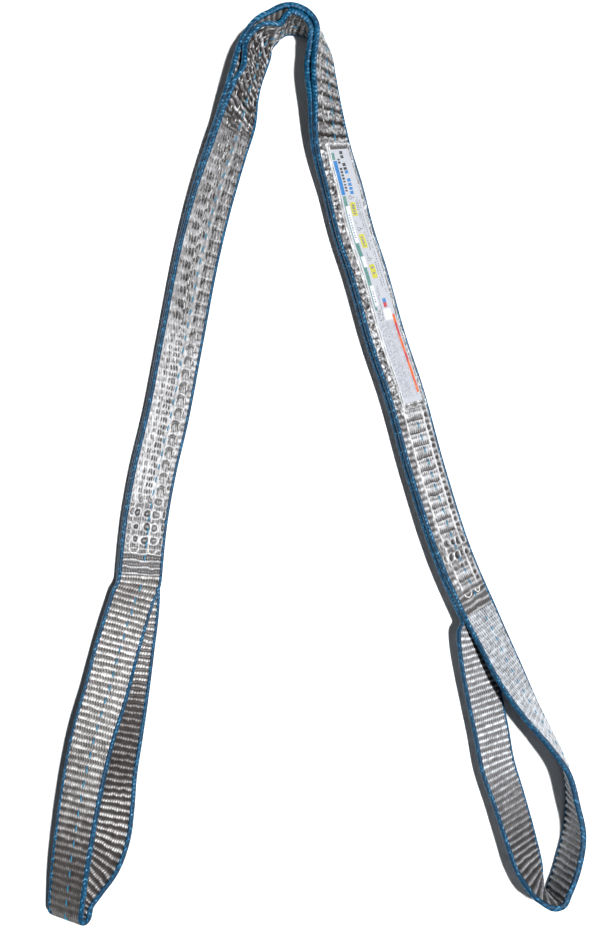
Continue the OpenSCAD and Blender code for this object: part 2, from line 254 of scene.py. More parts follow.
def make(name, verts, faces, material, attributes):
    """A smooth mesh of quads, with one value or one vector for each point in every attribute."""
    mesh = bpy.data.meshes.new(name)
    # Yarn pressed against the floor is flattened by it
    verts = np.maximum(np.asarray(verts, np.float32).reshape(-1, 3), (-np.inf, -np.inf, ON_FLOOR)) * MM
    quads = np.asarray(faces, np.int32)
    mesh.vertices.add(len(verts))
    mesh.vertices.foreach_set("co", verts.ravel())
    size = quads.shape[1]
    mesh.loops.add(quads.size)
    mesh.loops.foreach_set("vertex_index", quads.ravel())
    mesh.polygons.add(len(quads))
    mesh.polygons.foreach_set("loop_start", np.arange(0, quads.size, size, dtype=np.int32))
    mesh.polygons.foreach_set("loop_total", np.full(len(quads), size, np.int32))
    mesh.update(calc_edges=True)
    mesh.validate()
    for key, values in attributes.items():
        values = np.asarray(values, np.float32)
        kind = "FLOAT" if values.ndim == 1 else "FLOAT_VECTOR"
        attribute = mesh.attributes.new(key, kind, "POINT")
        attribute.data.foreach_set("value" if kind == "FLOAT" else "vector", values.ravel())
    mesh.polygons.foreach_set("use_smooth", [True] * len(mesh.polygons))
    ob = bpy.data.objects.new(name, mesh)
    bpy.context.scene.collection.objects.link(ob)
    mesh.materials.append(material)
    made[name] = ob


def rings(count, size):
    """Quads round rings of size points each, joined from ring to ring."""
    i = np.arange(count - 1)[:, None] * size
    j = np.arange(size)[None, :]
    k = (j + 1) % size
    return np.stack([i + j, i + k, i + size + k, i + size + j], -1).reshape(-1, 4)


def closed_rings(count, size):
    """The rings' quads, and quads across the flat outline at both ends. size is even."""
    caps = []
    for base, flip in ((0, True), ((count - 1) * size, False)):
        for j in range(size // 2 - 1):
            quad = [base + j, base + j + 1, base + size - 2 - j, base + size - 1 - j]
            caps.append(quad[::-1] if flip else quad)
    return np.concatenate([rings(count, size), np.array(caps)])


def slab(frames, across, along, first, second, layer):
    """A closed sheet whose two faces lie first and second off the frames' middle. Gives its points, its
    quads, and each point's place in the weave: across, along, and layer on the second face."""
    c, e, n = (x[:, None, :] for x in frames)
    row = c + across[..., None] * e
    points = round_trip(row + first[..., None] * n, row + second[..., None] * n)
    web = np.stack([round_trip(across, across), round_trip(along, along),
                    round_trip(0 * across, 0 * across + layer)], -1)
    return points, closed_rings(len(points), points.shape[1]), web.reshape(-1, 3)


def round_trip(out, back):
    """Columns that run out over one face and back over the other."""
    return np.concatenate([out, back[:, ::-1]], axis=1)


def body_triplet(at):
    """Middle, across and normal where the outer ply lies."""
    return body_frames(at)[:3]


def inner_triplet(at):
    """Middle, across and normal where the inner ply lies."""
    return leaning(body_frames(at))


# Points round a tube's outline, and its height in shares of its width
TUBE_SIDES, TUBE_FLAT = 8, 0.8


class Pile:
    """Collects many small closed pieces into one mesh."""

    def __init__(self):
        self.verts, self.faces, self.extra, self.count = [], [], {}, 0

    def add(self, points, faces, **extra):
        points = np.asarray(points).reshape(-1, 3)
        self.verts.append(points)
        self.faces.append(np.asarray(faces) + self.count)
        for key, values in extra.items():
            self.extra.setdefault(key, []).append(values)
        self.count += len(points)

    def build(self, name, material):
        extra = {k: np.concatenate(v) for k, v in self.extra.items()}
        make(name, np.concatenate(self.verts), np.concatenate(self.faces), material, extra)


def tube(pile, path, normals, radius, tone_of):
    """A closed tube along path, a little flat along the normal. radius is one number for each point, and
    tone_of gives the tone at a distance along the tube and an angle round it."""
    along = unit(np.gradient(path, axis=0))
    across = unit(np.cross(normals, along))
    outward = np.cross(along, across)
    angle = np.arange(TUBE_SIDES) * 2 * np.pi / TUBE_SIDES
    ring = (np.cos(angle)[None, :, None] * across[:, None, :]
            + TUBE_FLAT * np.sin(angle)[None, :, None] * outward[:, None, :])
    points = path[:, None, :] + radius[:, None, None] * ring
    distance = np.concatenate([[0], np.cumsum(np.linalg.norm(np.diff(path, axis=0), axis=1))])
    distance, angle = np.repeat(distance, TUBE_SIDES), np.tile(angle, len(path))
    pile.add(points, closed_rings(len(path), TUBE_SIDES), tone=tone_of(distance, angle),
             web=np.stack([distance, angle, 0 * angle], -1))


# ---------------------------------------------------------------- materials
def new_material(name):
    """A material, its node tree and the shader in it."""
    material = bpy.data.materials.new(name)
    material.use_nodes = True
    tree = material.node_tree
    return material, tree, tree.nodes["Principled BSDF"]


def feed(tree, made, inputs):
    """Links or sets a node's inputs."""
    for key, value in inputs.items():
        if isinstance(value, bpy.types.NodeSocket):
            tree.links.new(value, made.inputs[key])
        else:
            made.inputs[key].default_value = value


def node(tree, kind, inputs, **settings):
    """A new node. inputs are values or other nodes' outputs."""
    made = tree.nodes.new(kind)
    for key, value in settings.items():
        setattr(made, key, value)
    feed(tree, made, inputs)
    return made


def maths(tree, operation, *values, **settings):
    """The outcome of one operation on values."""
    return node(tree, "ShaderNodeMath", dict(enumerate(values)), operation=operation, **settings).outputs[0]


def spread(tree, *values):
    """A value, the range it lies in (low, high) and the range it is carried to (low, high)."""
    return node(tree, "ShaderNodeMapRange", dict(enumerate(values))).outputs[0]


def bumps(tree, height, strength, distance):
    """Normals of a relief."""
    inputs = {"Height": height, "Strength": strength, "Distance": distance}
    return node(tree, "ShaderNodeBump", inputs).outputs[0]


def stored(tree, name, kind="Fac"):
    """A value that each mesh brings for its own points or faces."""
    return node(tree, "ShaderNodeAttribute", {}, attribute_name=name).outputs[kind]


def ramp(tree, factor, stops):
    """The colour at factor between stops of (place, colour)."""
    made = node(tree, "ShaderNodeValToRGB", {0: factor})
    while len(made.color_ramp.elements) < len(stops):
        made.color_ramp.elements.new(0.5)
    for element, (place, colour) in zip(made.color_ramp.elements, stops):
        element.position = place
        element.color = (*colour, 1)
    return made.outputs[0]


def web_noise(tree, scale, detail=2.0):
    """Noise in the web's own directions: scale is per millimetre across, along and between pieces."""
    place = node(tree, "ShaderNodeMapping", {"Vector": stored(tree, "web", "Vector"), "Scale": scale})
    made = node(tree, "ShaderNodeTexNoise",
                {"Vector": place.outputs[0], "Scale": 1.0, "Detail": detail, "Roughness": 0.6})
    return made.outputs[0]


def yarn_material(name, stops, roughness, sheen, streak, relief, gloss=0.5):
    """Filament yarn: its colour follows the weave's tone, broken by fine streaks along the yarns."""
    material, tree, shader = new_material(name)
    fine = web_noise(tree, (5.0, 0.7, 1.0))
    patches = web_noise(tree, (0.12, 0.05, 1.0))
    mixed = maths(tree, "MULTIPLY_ADD", maths(tree, "SUBTRACT", fine, 0.5), streak, stored(tree, "tone"))
    mixed = maths(tree, "MULTIPLY_ADD", maths(tree, "SUBTRACT", patches, 0.5), 0.25, mixed)
    # Where "cool" is 1 the yarn reflects less red and more blue
    tint = node(tree, "ShaderNodeVectorMath",
                {0: stored(tree, "cool", "Vector"), 1: (-0.16, -0.06, 0.06), 2: (1.0, 1.0, 1.0)},
                operation="MULTIPLY_ADD").outputs[0]
    tinted = node(tree, "ShaderNodeVectorMath", {0: ramp(tree, mixed, stops), 1: tint}, operation="MULTIPLY")
    feed(tree, shader, {
        "Base Color": tinted.outputs[0],
        "Roughness": maths(tree, "MULTIPLY_ADD", fine, 0.25, roughness - 0.12),
        "Sheen Weight": sheen, "Sheen Roughness": 0.4, "Specular IOR Level": gloss,
        "Normal": bumps(tree, fine, relief, 0.0002)})
    return material


silver = yarn_material("silver_webbing", [
    (0.0, (0.012, 0.009, 0.008)), (0.3, (0.06, 0.053, 0.051)), (0.6, (0.235, 0.225, 0.224)),
    (0.85, (0.55, 0.54, 0.535)), (1.0, (0.80, 0.80, 0.80))], 0.36, 0.05, 0.42, 0.5)
blue = yarn_material("blue_edge_yarn", [
    (0.0, (0.0, 0.008, 0.02)), (0.35, (0.0, 0.045, 0.105)), (0.7, (0.003, 0.11, 0.235)),
    (0.88, (0.05, 0.24, 0.40)), (1.0, (0.64, 0.70, 0.74))], 0.5, 0.0, 0.42, 0.5, gloss=0.25)
teal = yarn_material("teal_marker_yarn", [
    (0.0, (0.002, 0.02, 0.05)), (0.5, (0.004, 0.08, 0.17)), (0.85, (0.01, 0.20, 0.32)),
    (1.0, (0.10, 0.45, 0.52))], 0.42, 0.0, 0.3, 0.4)
thread = yarn_material("sewing_thread", [
    (0.0, (0.16, 0.14, 0.135)), (0.5, (0.52, 0.50, 0.48)), (0.85, (0.80, 0.78, 0.76)),
    (1.0, (0.93, 0.92, 0.90))], 0.34, 0.15, 0.4, 0.5)

# ---------------------------------------------------------------- the weave
RIB = 4.0
PAIR = 2 * RIB
# The teal marker yarn's place across the webbing
MARKER_AT = -1.5
COLUMNS = 79
U = np.linspace(-GROUND, GROUND, COLUMNS)
# From the weave's crests down to its deepest gaps
DEPTH = 1.1
# Pitch of the warp yarns in the eyes and on each leg
EYE_YARN, LEFT_YARN, RIGHT_YARN = 1.6, 1.9, 1.5
# Stitch rows across each leg, from the raised edge
LEFT_ROWS = [8.2, 2.7, -3.0, -8.2]
RIGHT_ROWS = [6.4, -6.9]
HIDDEN_ROWS = [8.2, 1.8, -2.6, -7.4]


def window(low, high, x, soft=0.06):
    """1 between low and high, with soft sides."""
    return smooth(low - soft, low + soft, x) * (1 - smooth(high - soft, high + soft, x))


def yarn_gap(u, pitch):
    """How far a place is from its warp yarn's middle, 0 there and 1 between two yarns, and its number."""
    x = u / pitch
    j = np.floor(x + 0.5)
    return 2 * abs(x - j), j


def mix(pair, other, share):
    """Height and tone of one pattern changed into another's by share."""
    return pair[0] + share * (other[0] - pair[0]), pair[1] + share * (other[1] - pair[1])


def cloud(u, s, size, seed):
    """Smooth hills from -1 to 1, about size millimetres apart."""
    x, y = u / size, s / size
    i, j = np.floor(x), np.floor(y)
    fx, fy = smooth(0, 1, x - i), smooth(0, 1, y - j)
    across, along = 157, 311
    corner = i * across + j * along + seed
    low, high = (noise_of(first) * (1 - fx) + noise_of(first + across) * fx
                 for first in (corner, corner + along))
    return 2 * (low * (1 - fy) + high * fy) - 1


def warped(u, s, much, seed):
    """The place (u, s) moved a little, as the yarns wander."""
    return u + much * cloud(u, s, 2.6, seed), s + 1.5 * much * cloud(u, s, 3.2, seed + 9)


def phase_of(s, pitch):
    """The number of the rib or pair at s, and how far through it s lies, 0 to 1."""
    k = np.floor(s / pitch + 1e-6)
    return k, s / pitch - k


def plain_weave(u, s):
    """Ribs of a single ply: a full band painted bright as each rib's lit side, then slanting teeth with gaps
    painted dark as shade.
    """
    u, s = warped(u, s, 0.2, 20)
    k, phase = phase_of(s, RIB)
    d, j = yarn_gap(u + 1.3 * phase + 0.8 * (k % 2), EYE_YARN)
    own = noise_of(j * 29 + k * 3)
    gap = smooth(0.25, 0.72, d + 0.5 * (own - 0.5)) * window(0.44 + 0.12 * own, 0.98, phase, 0.10)
    d_light, j_light = yarn_gap(u - 1.0 * phase + 0.4, EYE_YARN)
    notch = smooth(0.30, 0.9, d_light + 0.6 * (noise_of(j_light * 17 + k * 5 + 40) - 0.5))
    rib = np.sin(np.pi * np.clip(phase * 0.96 + 0.02, 0, 1)) ** 0.5
    height = rib * (1 - 0.65 * gap) * (0.88 + 0.12 * noise_of(k * 7 + 11))
    band = window(0.08, 0.50, phase, 0.10)
    # Painted light and shade: the band is painted bright, and the yarn gaps and the valleys between ribs are
    # painted dark.
    tone = (0.62 + band * (0.42 - 0.36 * notch)) * (1 - 0.70 * gap)
    return height, tone * (0.82 + 0.30 * own) * (0.55 + 0.45 * rib) + 0.08 * cloud(u, s, 3, 3)


def inside_weave(u, s):
    """The ribs on the inside of an eye: narrow crests of short ticks, painted bright as lit tops, over
    ground painted dark as shade.
    """
    u, s = warped(u, s, 0.3, 320)
    k, phase = phase_of(s, RIB)
    d, j = yarn_gap(u + 0.8 * phase, EYE_YARN)
    own = noise_of(j * 29 + k * 3 + 700)
    crest = window(0.30, 0.72, phase + 0.06 * (own - 0.5), 0.12)
    tick = smooth(0.45, 0.85, d + 0.3 * (own - 0.5))
    height = crest * (1 - 0.45 * tick)
    # Painted light and shade: crests painted bright, the sunk ground and ticks painted dark.
    tone = 0.16 + 0.12 * own + crest * (0.58 + 0.20 * own) * (1 - 0.55 * tick) + 0.05 * cloud(u, s, 3, 3)
    return height, tone


def pillow_weave(u, s):
    """Ribs of the two plies pressed together at a bend: bumpy, with swells painted bright and every second
    groove deep and painted dark as shade.
    """
    u, s = warped(u, s, 0.35, 140)
    k, phase = phase_of(s, PAIR)
    d, j = yarn_gap(u + 0.6 * phase, RIGHT_YARN)
    own = noise_of(j * 23 + k * 7 + 600)
    deep = window(0.36 + 0.05 * own, 0.64 - 0.06 * own, phase, 0.06)
    shallow = window(0.90, 1.06, phase, 0.04) + window(-0.1, 0.04, phase, 0.04)
    shallow = np.clip(shallow, 0, 1) * (0.25 + 0.75 * (own > 0.45))
    streak = smooth(0.4, 0.9, d) * noise_of(k * 3 + j)
    height = (1 - 0.9 * deep - 0.5 * shallow) * (0.86 + 0.14 * own)
    swell = abs(np.cos(np.pi * phase))
    # Painted light and shade: swells painted bright, grooves and the gaps between yarns painted dark.
    tone = 0.30 + 0.36 * swell - 0.42 * deep - 0.26 * shallow - 0.24 * streak + 0.34 * cloud(u, s, 1.2, 5)
    return height, tone


def crushed_weave(u, s):
    """Ribs squeezed together at the crown, ragged, with deep grooves painted dark as shade and painted
    highlights on the ribs.
    """
    u, s = warped(u, s, 0.55, 240)
    k, phase = phase_of(s, 1.05 * RIB)
    d, j = yarn_gap(u + 1.4 * phase, RIGHT_YARN)
    own = noise_of(j * 19 + k * 41 + 900)
    rib = np.sin(np.pi * phase) ** 0.8 * (0.8 + 0.2 * noise_of(k * 5))
    nick = smooth(0.35, 0.8, d) * (own > 0.35) * (1 - window(0.3, 0.6, phase, 0.12))
    height = rib * (1 - 0.4 * nick)
    # Painted highlights: bright and dark flecks on the rib tops; the grooves and nicks are painted dark as
    # shade.
    painted_glint = cloud(u, s, 1.3, 8)
    tone = (0.06 + 0.84 * rib ** 2 * (0.55 + 0.45 * own) - 0.22 * nick
            + 0.75 * painted_glint * abs(painted_glint) * rib + 0.1 * painted_glint)
    return height, tone


def left_weave(u, s):
    """Left leg: groups of long slots on the raised side of the marker, dark-headed cells on the other; the
    sunk slots and heads are painted dark as shade.
    """
    u, s = warped(u, s, 0.42, 50)
    k, phase = phase_of(s, PAIR)
    d, j = yarn_gap(u + 0.7 * phase, LEFT_YARN)
    own, other = noise_of(j * 31 + k * 13 + 40), noise_of(j * 11 + k * 23 + 300)
    gap = smooth(0.25, 0.75, d + 0.3 * (own - 0.5))
    early = window(2.4, 8.2, u, 0.5) * window(0.06 + 0.14 * other, 0.46 + 0.22 * own, phase, 0.06)
    late = window(-0.9, 2.6, u, 0.5) * window(0.52 + 0.12 * other, 0.98, phase, 0.06)
    nicks = 0.45 * window(8.2, 11.2, u, 0.4) * window(0.1, 0.3, phase, 0.05) * (own > 0.4)
    slots = gap * np.clip(early + late + nicks, 0, 1)
    cells = 1 - smooth(-4.9, -4.3, u)
    head = window(0.05, 0.20 + 0.06 * own, phase, 0.04) * (0.45 + 0.55 * smooth(0.3, 0.7, d))
    foot = 0.30 * smooth(0.35, 0.8, d) * window(0.2, 0.85, phase, 0.08)
    flank = window(-5.7, -4.7, u, 0.25) * window(0.1, 0.5, phase, 0.08)
    # Painted shade: the sunk slots, cell heads, feet and flank are painted dark.
    dark = np.clip(slots + cells * (0.8 * head + foot) + 0.7 * flank, 0, 1)
    streaks = cloud(u * 1.4, s * 0.3, 0.8, 7)
    height = 0.95 - 0.55 * dark + 0.06 * streaks
    tone = (0.51 + 0.16 * streaks + 0.12 * cloud(u, s, 1.6, 70) - 0.50 * dark
            + 0.10 * window(0.84, 1.0, phase))
    return frame_rows((height, tone), u, [LEFT_ROWS[2], -7.8], 0.0, 0.35)


def short_weave(u, s):
    """Lower on the left leg: short slots at every rib, and arched cells beyond the marker."""
    u, s = warped(u, s, 0.38, 90)
    k, one = phase_of(s, RIB)
    d, j = yarn_gap(u + 0.5 * LEFT_YARN * (k % 2) + 0.5 * one, 0.8 * LEFT_YARN)
    own = noise_of(j * 31 + k * 13 + 60)
    gap = smooth(0.25, 0.75, d + 0.25 * (own - 0.5))
    zone = (0.95 * window(-0.4, 4.0, u, 0.4) + 0.65 * window(5.3, 8.0, u, 0.4)
            + 0.35 * window(8.8, 11, u, 0.3))
    slots = zone * gap * window(0.22 + 0.1 * own, 0.74 + 0.12 * own, one, 0.08)
    pair, phase = phase_of(s, PAIR)
    x = (u + 6.0 + 0.7 * (noise_of(pair * 7) - 0.5)) / 3.0
    y = (phase - 0.62) / 0.42
    r = np.hypot(x, np.clip(y, -9, 0.2))
    arch = np.exp(-((r - 0.85) / 0.22) ** 2) * (y < 0.35) * (phase > 0.05)
    inside = (r < 0.8) * (0.25 + 0.5 * smooth(0.35, 0.75, d)) * (u < -3.2)
    far = 0.5 * (u < -9.2) * window(0.3, 0.6, one, 0.1)
    # Painted shade: the sunk slots, arches and cell middles are painted dark.
    dark = np.clip(slots + (u < -3.0) * (0.75 * arch + 0.45 * inside + far), 0, 1)
    streaks = cloud(u * 1.4, s * 0.35, 0.8, 17)
    height = 0.95 - 0.6 * dark + 0.06 * streaks
    tone = 0.66 + 0.14 * streaks + 0.13 * cloud(u, s, 1.4, 27) - 0.60 * dark
    return frame_rows((height, tone), u, [8.4, 4.7, -2.9], 0.05, 0.5)


# Cells of the ring pattern: [middle across the web, half width, how deep the middle sinks and how dark its
# painted shade is]
LEFT_CELLS = [(9.6, 1.2, 0.30), (5.4, 1.7, 0.80), (-0.7, 2.0, 0.75), (-5.6, 2.2, 0.50), (-9.9, 0.9, 0.75)]
RIGHT_CELLS = [(9.0, 1.1, 0.35), (4.4, 2.0, 0.65), (-0.9, 1.9, 0.85), (-5.0, 1.7, 0.60), (-9.4, 1.6, 0.75)]


def ring_weave(u, s, cells, rows):
    """Near a throat the tight stitches draw the ribs into rings, their raised rims painted bright as
    highlights and their sunk middles painted dark as shade.
    """
    u, s = warped(u, s, 0.5, 110)
    k, phase = phase_of(s, PAIR)
    d, j = yarn_gap(u + 0.5 * phase, RIGHT_YARN)
    own = noise_of(j * 9 + k * 31)
    yarns = smooth(0.35, 0.85, d)
    # Small sunk teeth run across between the rows of rings, painted dark as shade
    teeth = window(0.80, 0.97, phase, 0.04) * (0.25 + 0.75 * yarns) * (0.5 + 0.5 * own)
    height = 0.85 - 0.5 * teeth
    tone = 0.54 - 0.36 * teeth - 0.14 * yarns * own + 0.18 * cloud(u, s, 1.4, 4)
    for number, (middle, half, darkness) in enumerate(cells):
        one, two = noise_of(k * 17 + number * 5), noise_of(k * 5 + number)
        x = (u - middle - 1.1 * (one - 0.5)) / (half * (0.8 + 0.35 * two))
        y = (phase - 0.36 - 0.10 * one) / (0.24 + 0.08 * two)
        r = (abs(x) ** 2.2 + abs(y) ** 2.2) ** (1 / 2.2)
        # Painted light and shade: each cell's sunk middle is painted dark and its raised rim bright.
        hole = 1 - smooth(0.55, 1.0, r + 0.25 * yarns * (own - 0.3))
        rim = np.exp(-((r - 1.22) / 0.24) ** 2)
        height = height - 0.75 * hole * darkness + 0.25 * rim
        tone = tone * (1 - hole * darkness * (0.75 + 0.25 * yarns)) + 0.32 * rim * (0.5 + 0.5 * two)
    return frame_rows((height, tone), u, rows, 0.1, 0.35)


def comb_weave(u, s):
    """Ribs pulled flat close to a throat: a sunk comb of yarns painted dark as shade, and a raised ragged
    line at every rib painted bright as a highlight.
    """
    u, s = warped(u, s, 0.4, 170)
    k, one = phase_of(s, RIB)
    d, j = yarn_gap(u + 0.9 * one, RIGHT_YARN)
    own = noise_of(j * 31 + k * 13 + 40)
    fine = smooth(0.3, 0.8, d)
    comb = window(0.10 + 0.12 * own, 0.60 + 0.14 * noise_of(j * 5 + k), one, 0.07)
    line = window(0.74, 0.98, one + 0.08 * (own - 0.5), 0.06)
    strong = 0.75 + 0.25 * (k % 2)
    height = 0.75 - 0.35 * comb * (0.4 + 0.6 * fine) + 0.25 * line
    # Painted light and shade: the raised line is painted bright and the sunk comb dark.
    bright = 0.34 * line * (0.55 + 0.45 * own) * (1.1 - 0.6 * fine)
    return height, 0.50 - comb * strong * (0.20 + 0.22 * fine) + bright


def ladder_weave(u, s):
    """Between the right leg's stitch rows: yarns that sink and are painted darker as shade down to a bright
    bar, then a row of sunk nicks painted dark.
    """
    u, s = warped(u, s, 0.30, 80)
    k, phase = phase_of(s, PAIR)
    d, j = yarn_gap(u + 0.4 * phase, RIGHT_YARN)
    own = noise_of(j * 31 + k * 13 + 40)
    fine = smooth(0.3, 0.8, d)
    comb = window(0.02, 0.50 + 0.03 * own, phase, 0.03)
    fall = smooth(0.0 + 0.15 * own, 0.46, phase)
    nicks = window(0.66, 0.82 + 0.05 * own, phase + 0.05 * (2 * d - 1), 0.03) * (0.25 + 0.75 * fine)
    height = 0.95 - comb * (0.15 + 0.35 * fall) * (0.6 + 0.4 * fine) - 0.4 * nicks
    # Painted shade: the sinking yarns and the nicks are painted dark.
    tone = (0.78 - comb * fall * (0.42 + 0.14 * fine) - 0.18 * comb * fine - 0.52 * nicks
            + 0.14 * cloud(u, s, 1.3, 33))
    return height, tone


def right_weave(u, s):
    """Right leg: a ladder between two bright stitch rows, and short round ribs outside them."""
    k, one = phase_of(s + 0.5 * cloud(u, s, 2.4, 12), RIB)
    d, j = yarn_gap(u, RIGHT_YARN)
    own = noise_of(j * 7 + k * 11)
    # Painted light and shade: the round ribs are painted bright on top and dark between, and on the flank
    # each sunk oval is painted dark.
    knob = np.sin(np.pi * one) ** 0.8
    outer = (1.1 * knob, 0.34 + 0.46 * knob ** 2 * (0.75 + 0.25 * own) + 0.3 * (own - 0.5))
    oval = np.hypot((u + 9.3) / 1.9, (one - 0.5) / 0.36)
    flank = (0.9 - 0.5 * (oval < 0.9),
             0.72 - 0.44 * (1 - smooth(0.6, 1.05, oval)) + 0.3 * (own - 0.5) - 0.1 * d)
    pattern = mix(ladder_weave(u, s), outer, smooth(RIGHT_ROWS[0] - 0.2, RIGHT_ROWS[0] + 0.4, u))
    pattern = mix(pattern, flank, smooth(RIGHT_ROWS[1] + 0.2, RIGHT_ROWS[1] - 0.4, u))
    return frame_rows(pattern, u, RIGHT_ROWS, 0.12, 0.7)


def mottled_weave(u, s):
    """The ply under the clear sleeve, blurred into bumps and specks."""
    u, s = warped(u, s, 0.7, 410)
    one = phase_of(s, RIB)[1]
    bump = np.sin(np.pi * one) * (0.7 + 0.3 * cloud(u, s, 2.0, 6))
    speck = cloud(u, s, 0.9, 14)
    # Painted light and shade: the bumps' tops are painted brighter and the hollows between them darker.
    return 0.75 * bump + 0.2, 0.47 + 0.22 * bump + 1.0 * speck * abs(speck) - 0.2 * (bump < 0.3)


def frame_rows(pattern, u, rows, lift, share):
    """Each stitch row draws the ply in and shows as a narrow bright line."""
    height, tone = pattern
    for row in rows:
        pinch = np.exp(-((u - row) / 0.65) ** 2)
        height = height - 0.3 * pinch * share
        tone = tone + pinch * (0.76 + lift - tone) * share
    return height, tone


# ---------------------------------------------------------------- the eyes' soft start and end
def join(first, second, weight):
    """Two sets of (middle, across, normal) mixed by weight, 0 for first."""
    w = weight[:, None]
    c = first[0] * (1 - w) + second[0] * w
    n = unit(first[2] * (1 - w) + second[2] * w)
    e = first[1] * (1 - w) + second[1] * w
    e = unit(e - (e * n).sum(-1, keepdims=True) * n)
    return c, e, n


# An eye's ply leaves the body straight, and takes up its own route over this length
JOIN_L = 14.0


def leaving(at, throat, face, outward, flip):
    """The ply of that face carried straight on out of the body at its throat, at lengths at beyond it."""
    c, e, n, _ = body_frames(np.array([throat]))
    way = np.cross(e[0], n[0]) * outward
    start = c[0] + face * PLY_T / 2 * n[0]
    count = len(at)
    n_out = -n[0] if flip else n[0]
    return start + np.asarray(at)[:, None] * way, np.tile(e[0], (count, 1)), np.tile(n_out, (count, 1))


def eye_frames(loop, length, throat, outward, faces):
    """An eye's frames, which leave and meet the body's two plies without a step."""
    def frames(at):
        at = np.asarray(at, float)
        base = loop(at)
        facing_out = np.sign((base[2][0] * body_frames(np.array([throat]))[2][0]).sum())
        out = leaving(at, throat, faces[0], outward, facing_out < 0)
        facing_in = np.sign((base[2][-1] * body_frames(np.array([throat]))[2][0]).sum())
        back = leaving(length - at, throat, faces[1], outward, facing_in < 0)
        mixed = join(out, base, smooth(0, JOIN_L, at))
        return join(mixed, back, smooth(length - JOIN_L, length, at))
    return frames


left_eye_at = eye_frames(left_eye_frames, LEFT_EYE_L, 0, -1, (1, -1))
right_eye_at = eye_frames(right_eye_frames, RIGHT_EYE_L, BODY_L, 1, (-1, 1))


# ---------------------------------------------------------------- webs
def web_mesh(name, at, frames, run, top, bottom, low, high, cool=0.35):
    """One ply as a closed sheet. top and bottom give height and tone over (across, run) on each face,
    and low and high are how far off the frame's middle the two faces' crests lie. cool is how blue
    the yarn looks at each length."""
    uu, ss = np.meshgrid(U, run)
    aa = np.meshgrid(U, at)[1]
    h_top, tone_top = top(uu, ss, aa)
    h_low, tone_low = bottom(uu, ss, aa)
    points, faces, web = slab(frames, uu, ss, low + DEPTH * (1 - h_low), high - DEPTH * (1 - h_top), 50)
    tone = np.clip(round_trip(tone_low, tone_top), 0, 1)
    cool = np.broadcast_to(np.reshape(cool, (-1, 1)), tone.shape)
    make(name, points, faces, silver, {"tone": tone.ravel(), "cool": cool.ravel(), "web": web})


# Points round an edge yarn's outline, which is a squarer shape than an ellipse where the power is under 1
CORD_SIDES, CORD_POWER = 16, 0.8


def power(x, sharpness):
    """x raised to a power with its sign kept."""
    return np.sign(x) * abs(x) ** sharpness


def cord_tones(run, angle, flecks):
    """The tone of the twisted blue yarns, a share of them flecked with silver, and of the silver
    weft that loops round them."""
    twist = 0.5 + 0.5 * np.cos(2 * np.pi * run / 2.3 + 2 * angle)
    place = np.round(run / 2.4 + 0.4 * np.sin(angle * 2))
    near = np.exp(-((run / 2.4 + 0.4 * np.sin(angle * 2) - place) / 0.22) ** 2)
    dots = near * (noise_of(place * 7 + np.round(angle * 1.5) * 13) < flecks)
    loop = np.round(run / (RIB / 2))
    strong = noise_of(loop * 3 + 5) > 0.45
    weft = np.exp(-((run / (RIB / 2) - loop) / 0.26) ** 2) * (0.3 + 0.7 * strong)
    yarn = 0.12 + 0.30 * twist
    return yarn + (1 - yarn) * dots, 0.10 + 0.92 * weft


def edge_cords(name, at, frames, run, middle_v, half_v, inward):
    """The twisted yarns along both edges of one ply, with pale flecks where the weft wraps round. Their
    middle lies middle_v off the frame's, and inward is the way to the other ply, or 0 in an eye."""
    c, e, n = frames
    angle = np.arange(CORD_SIDES) * 2 * np.pi / CORD_SIDES
    u_half = EDGE_W / 2 + 0.15
    pile = Pile()
    for edge in (-1, 1):
        rr, aa = np.meshgrid(run, angle, indexing="ij")
        bent = window(LEFT_SHOULDER_AT - 10, RIGHT_SHOULDER_AT, at, 12)[:, None] * bool(inward)
        yarn, loops = cord_tones(rr + 3 * edge, aa, 0.32 + 0.26 * bent)
        swell = 0.94 + 0.06 * yarn
        u = edge * (WEB_W / 2 - u_half + 0.05) + u_half * swell * power(np.cos(aa), CORD_POWER)
        v = middle_v + half_v * swell * power(np.sin(aa), CORD_POWER)
        points = c[:, None] + u[..., None] * e[:, None] + v[..., None] * n[:, None]
        # Silver weft shows towards the ground of an eye, and between the two plies where they bend
        if inward:
            seam = smooth(0.2, 0.6, np.sin(aa) * inward) * (0.15 + 0.75 * bent)
        else:
            seam = 0.9 * smooth(0.0, 0.4, -edge * np.cos(aa))
        tone = yarn * (1 - seam) + loops * seam
        web = np.stack([aa * 1.2, rr, 0 * aa + edge * 7], -1)
        pile.add(points, closed_rings(len(at), CORD_SIDES), tone=np.clip(tone, 0, 1).ravel(),
                 web=web.reshape(-1, 3))
    pile.build(name, blue)


def fit_run(at, a, b, start):
    """Lengths along the weave, which starts at a, with a whole number of rib pairs from there to b."""
    pairs = round(abs(b - a) / PAIR)
    return start + (np.asarray(at) - a) * (pairs * PAIR / (b - a))


# The label: a tag in a clear sleeve that starts at the right shoulder
TAG_W, TAG_L, TAG_T = 14.5, 165.0, 0.3
# How far its middle lies off the webbing's, and how far the sleeve reaches past each end of the tag
LABEL_OFF, LABEL_END = -2.0, 4.0
SLEEVE_HALF = TAG_W / 2 + 2.5
HEM = 2.0
LABEL_FROM = RIGHT_SHOULDER_AT
LABEL_TO = LABEL_FROM + TAG_L + 2 * LABEL_END
# How far from each throat the combs and the rings reach, and how far the short slots go up the left leg
COMB_TO, RING_TO, SHORT_TO = 17.0, 50.0, 165.0


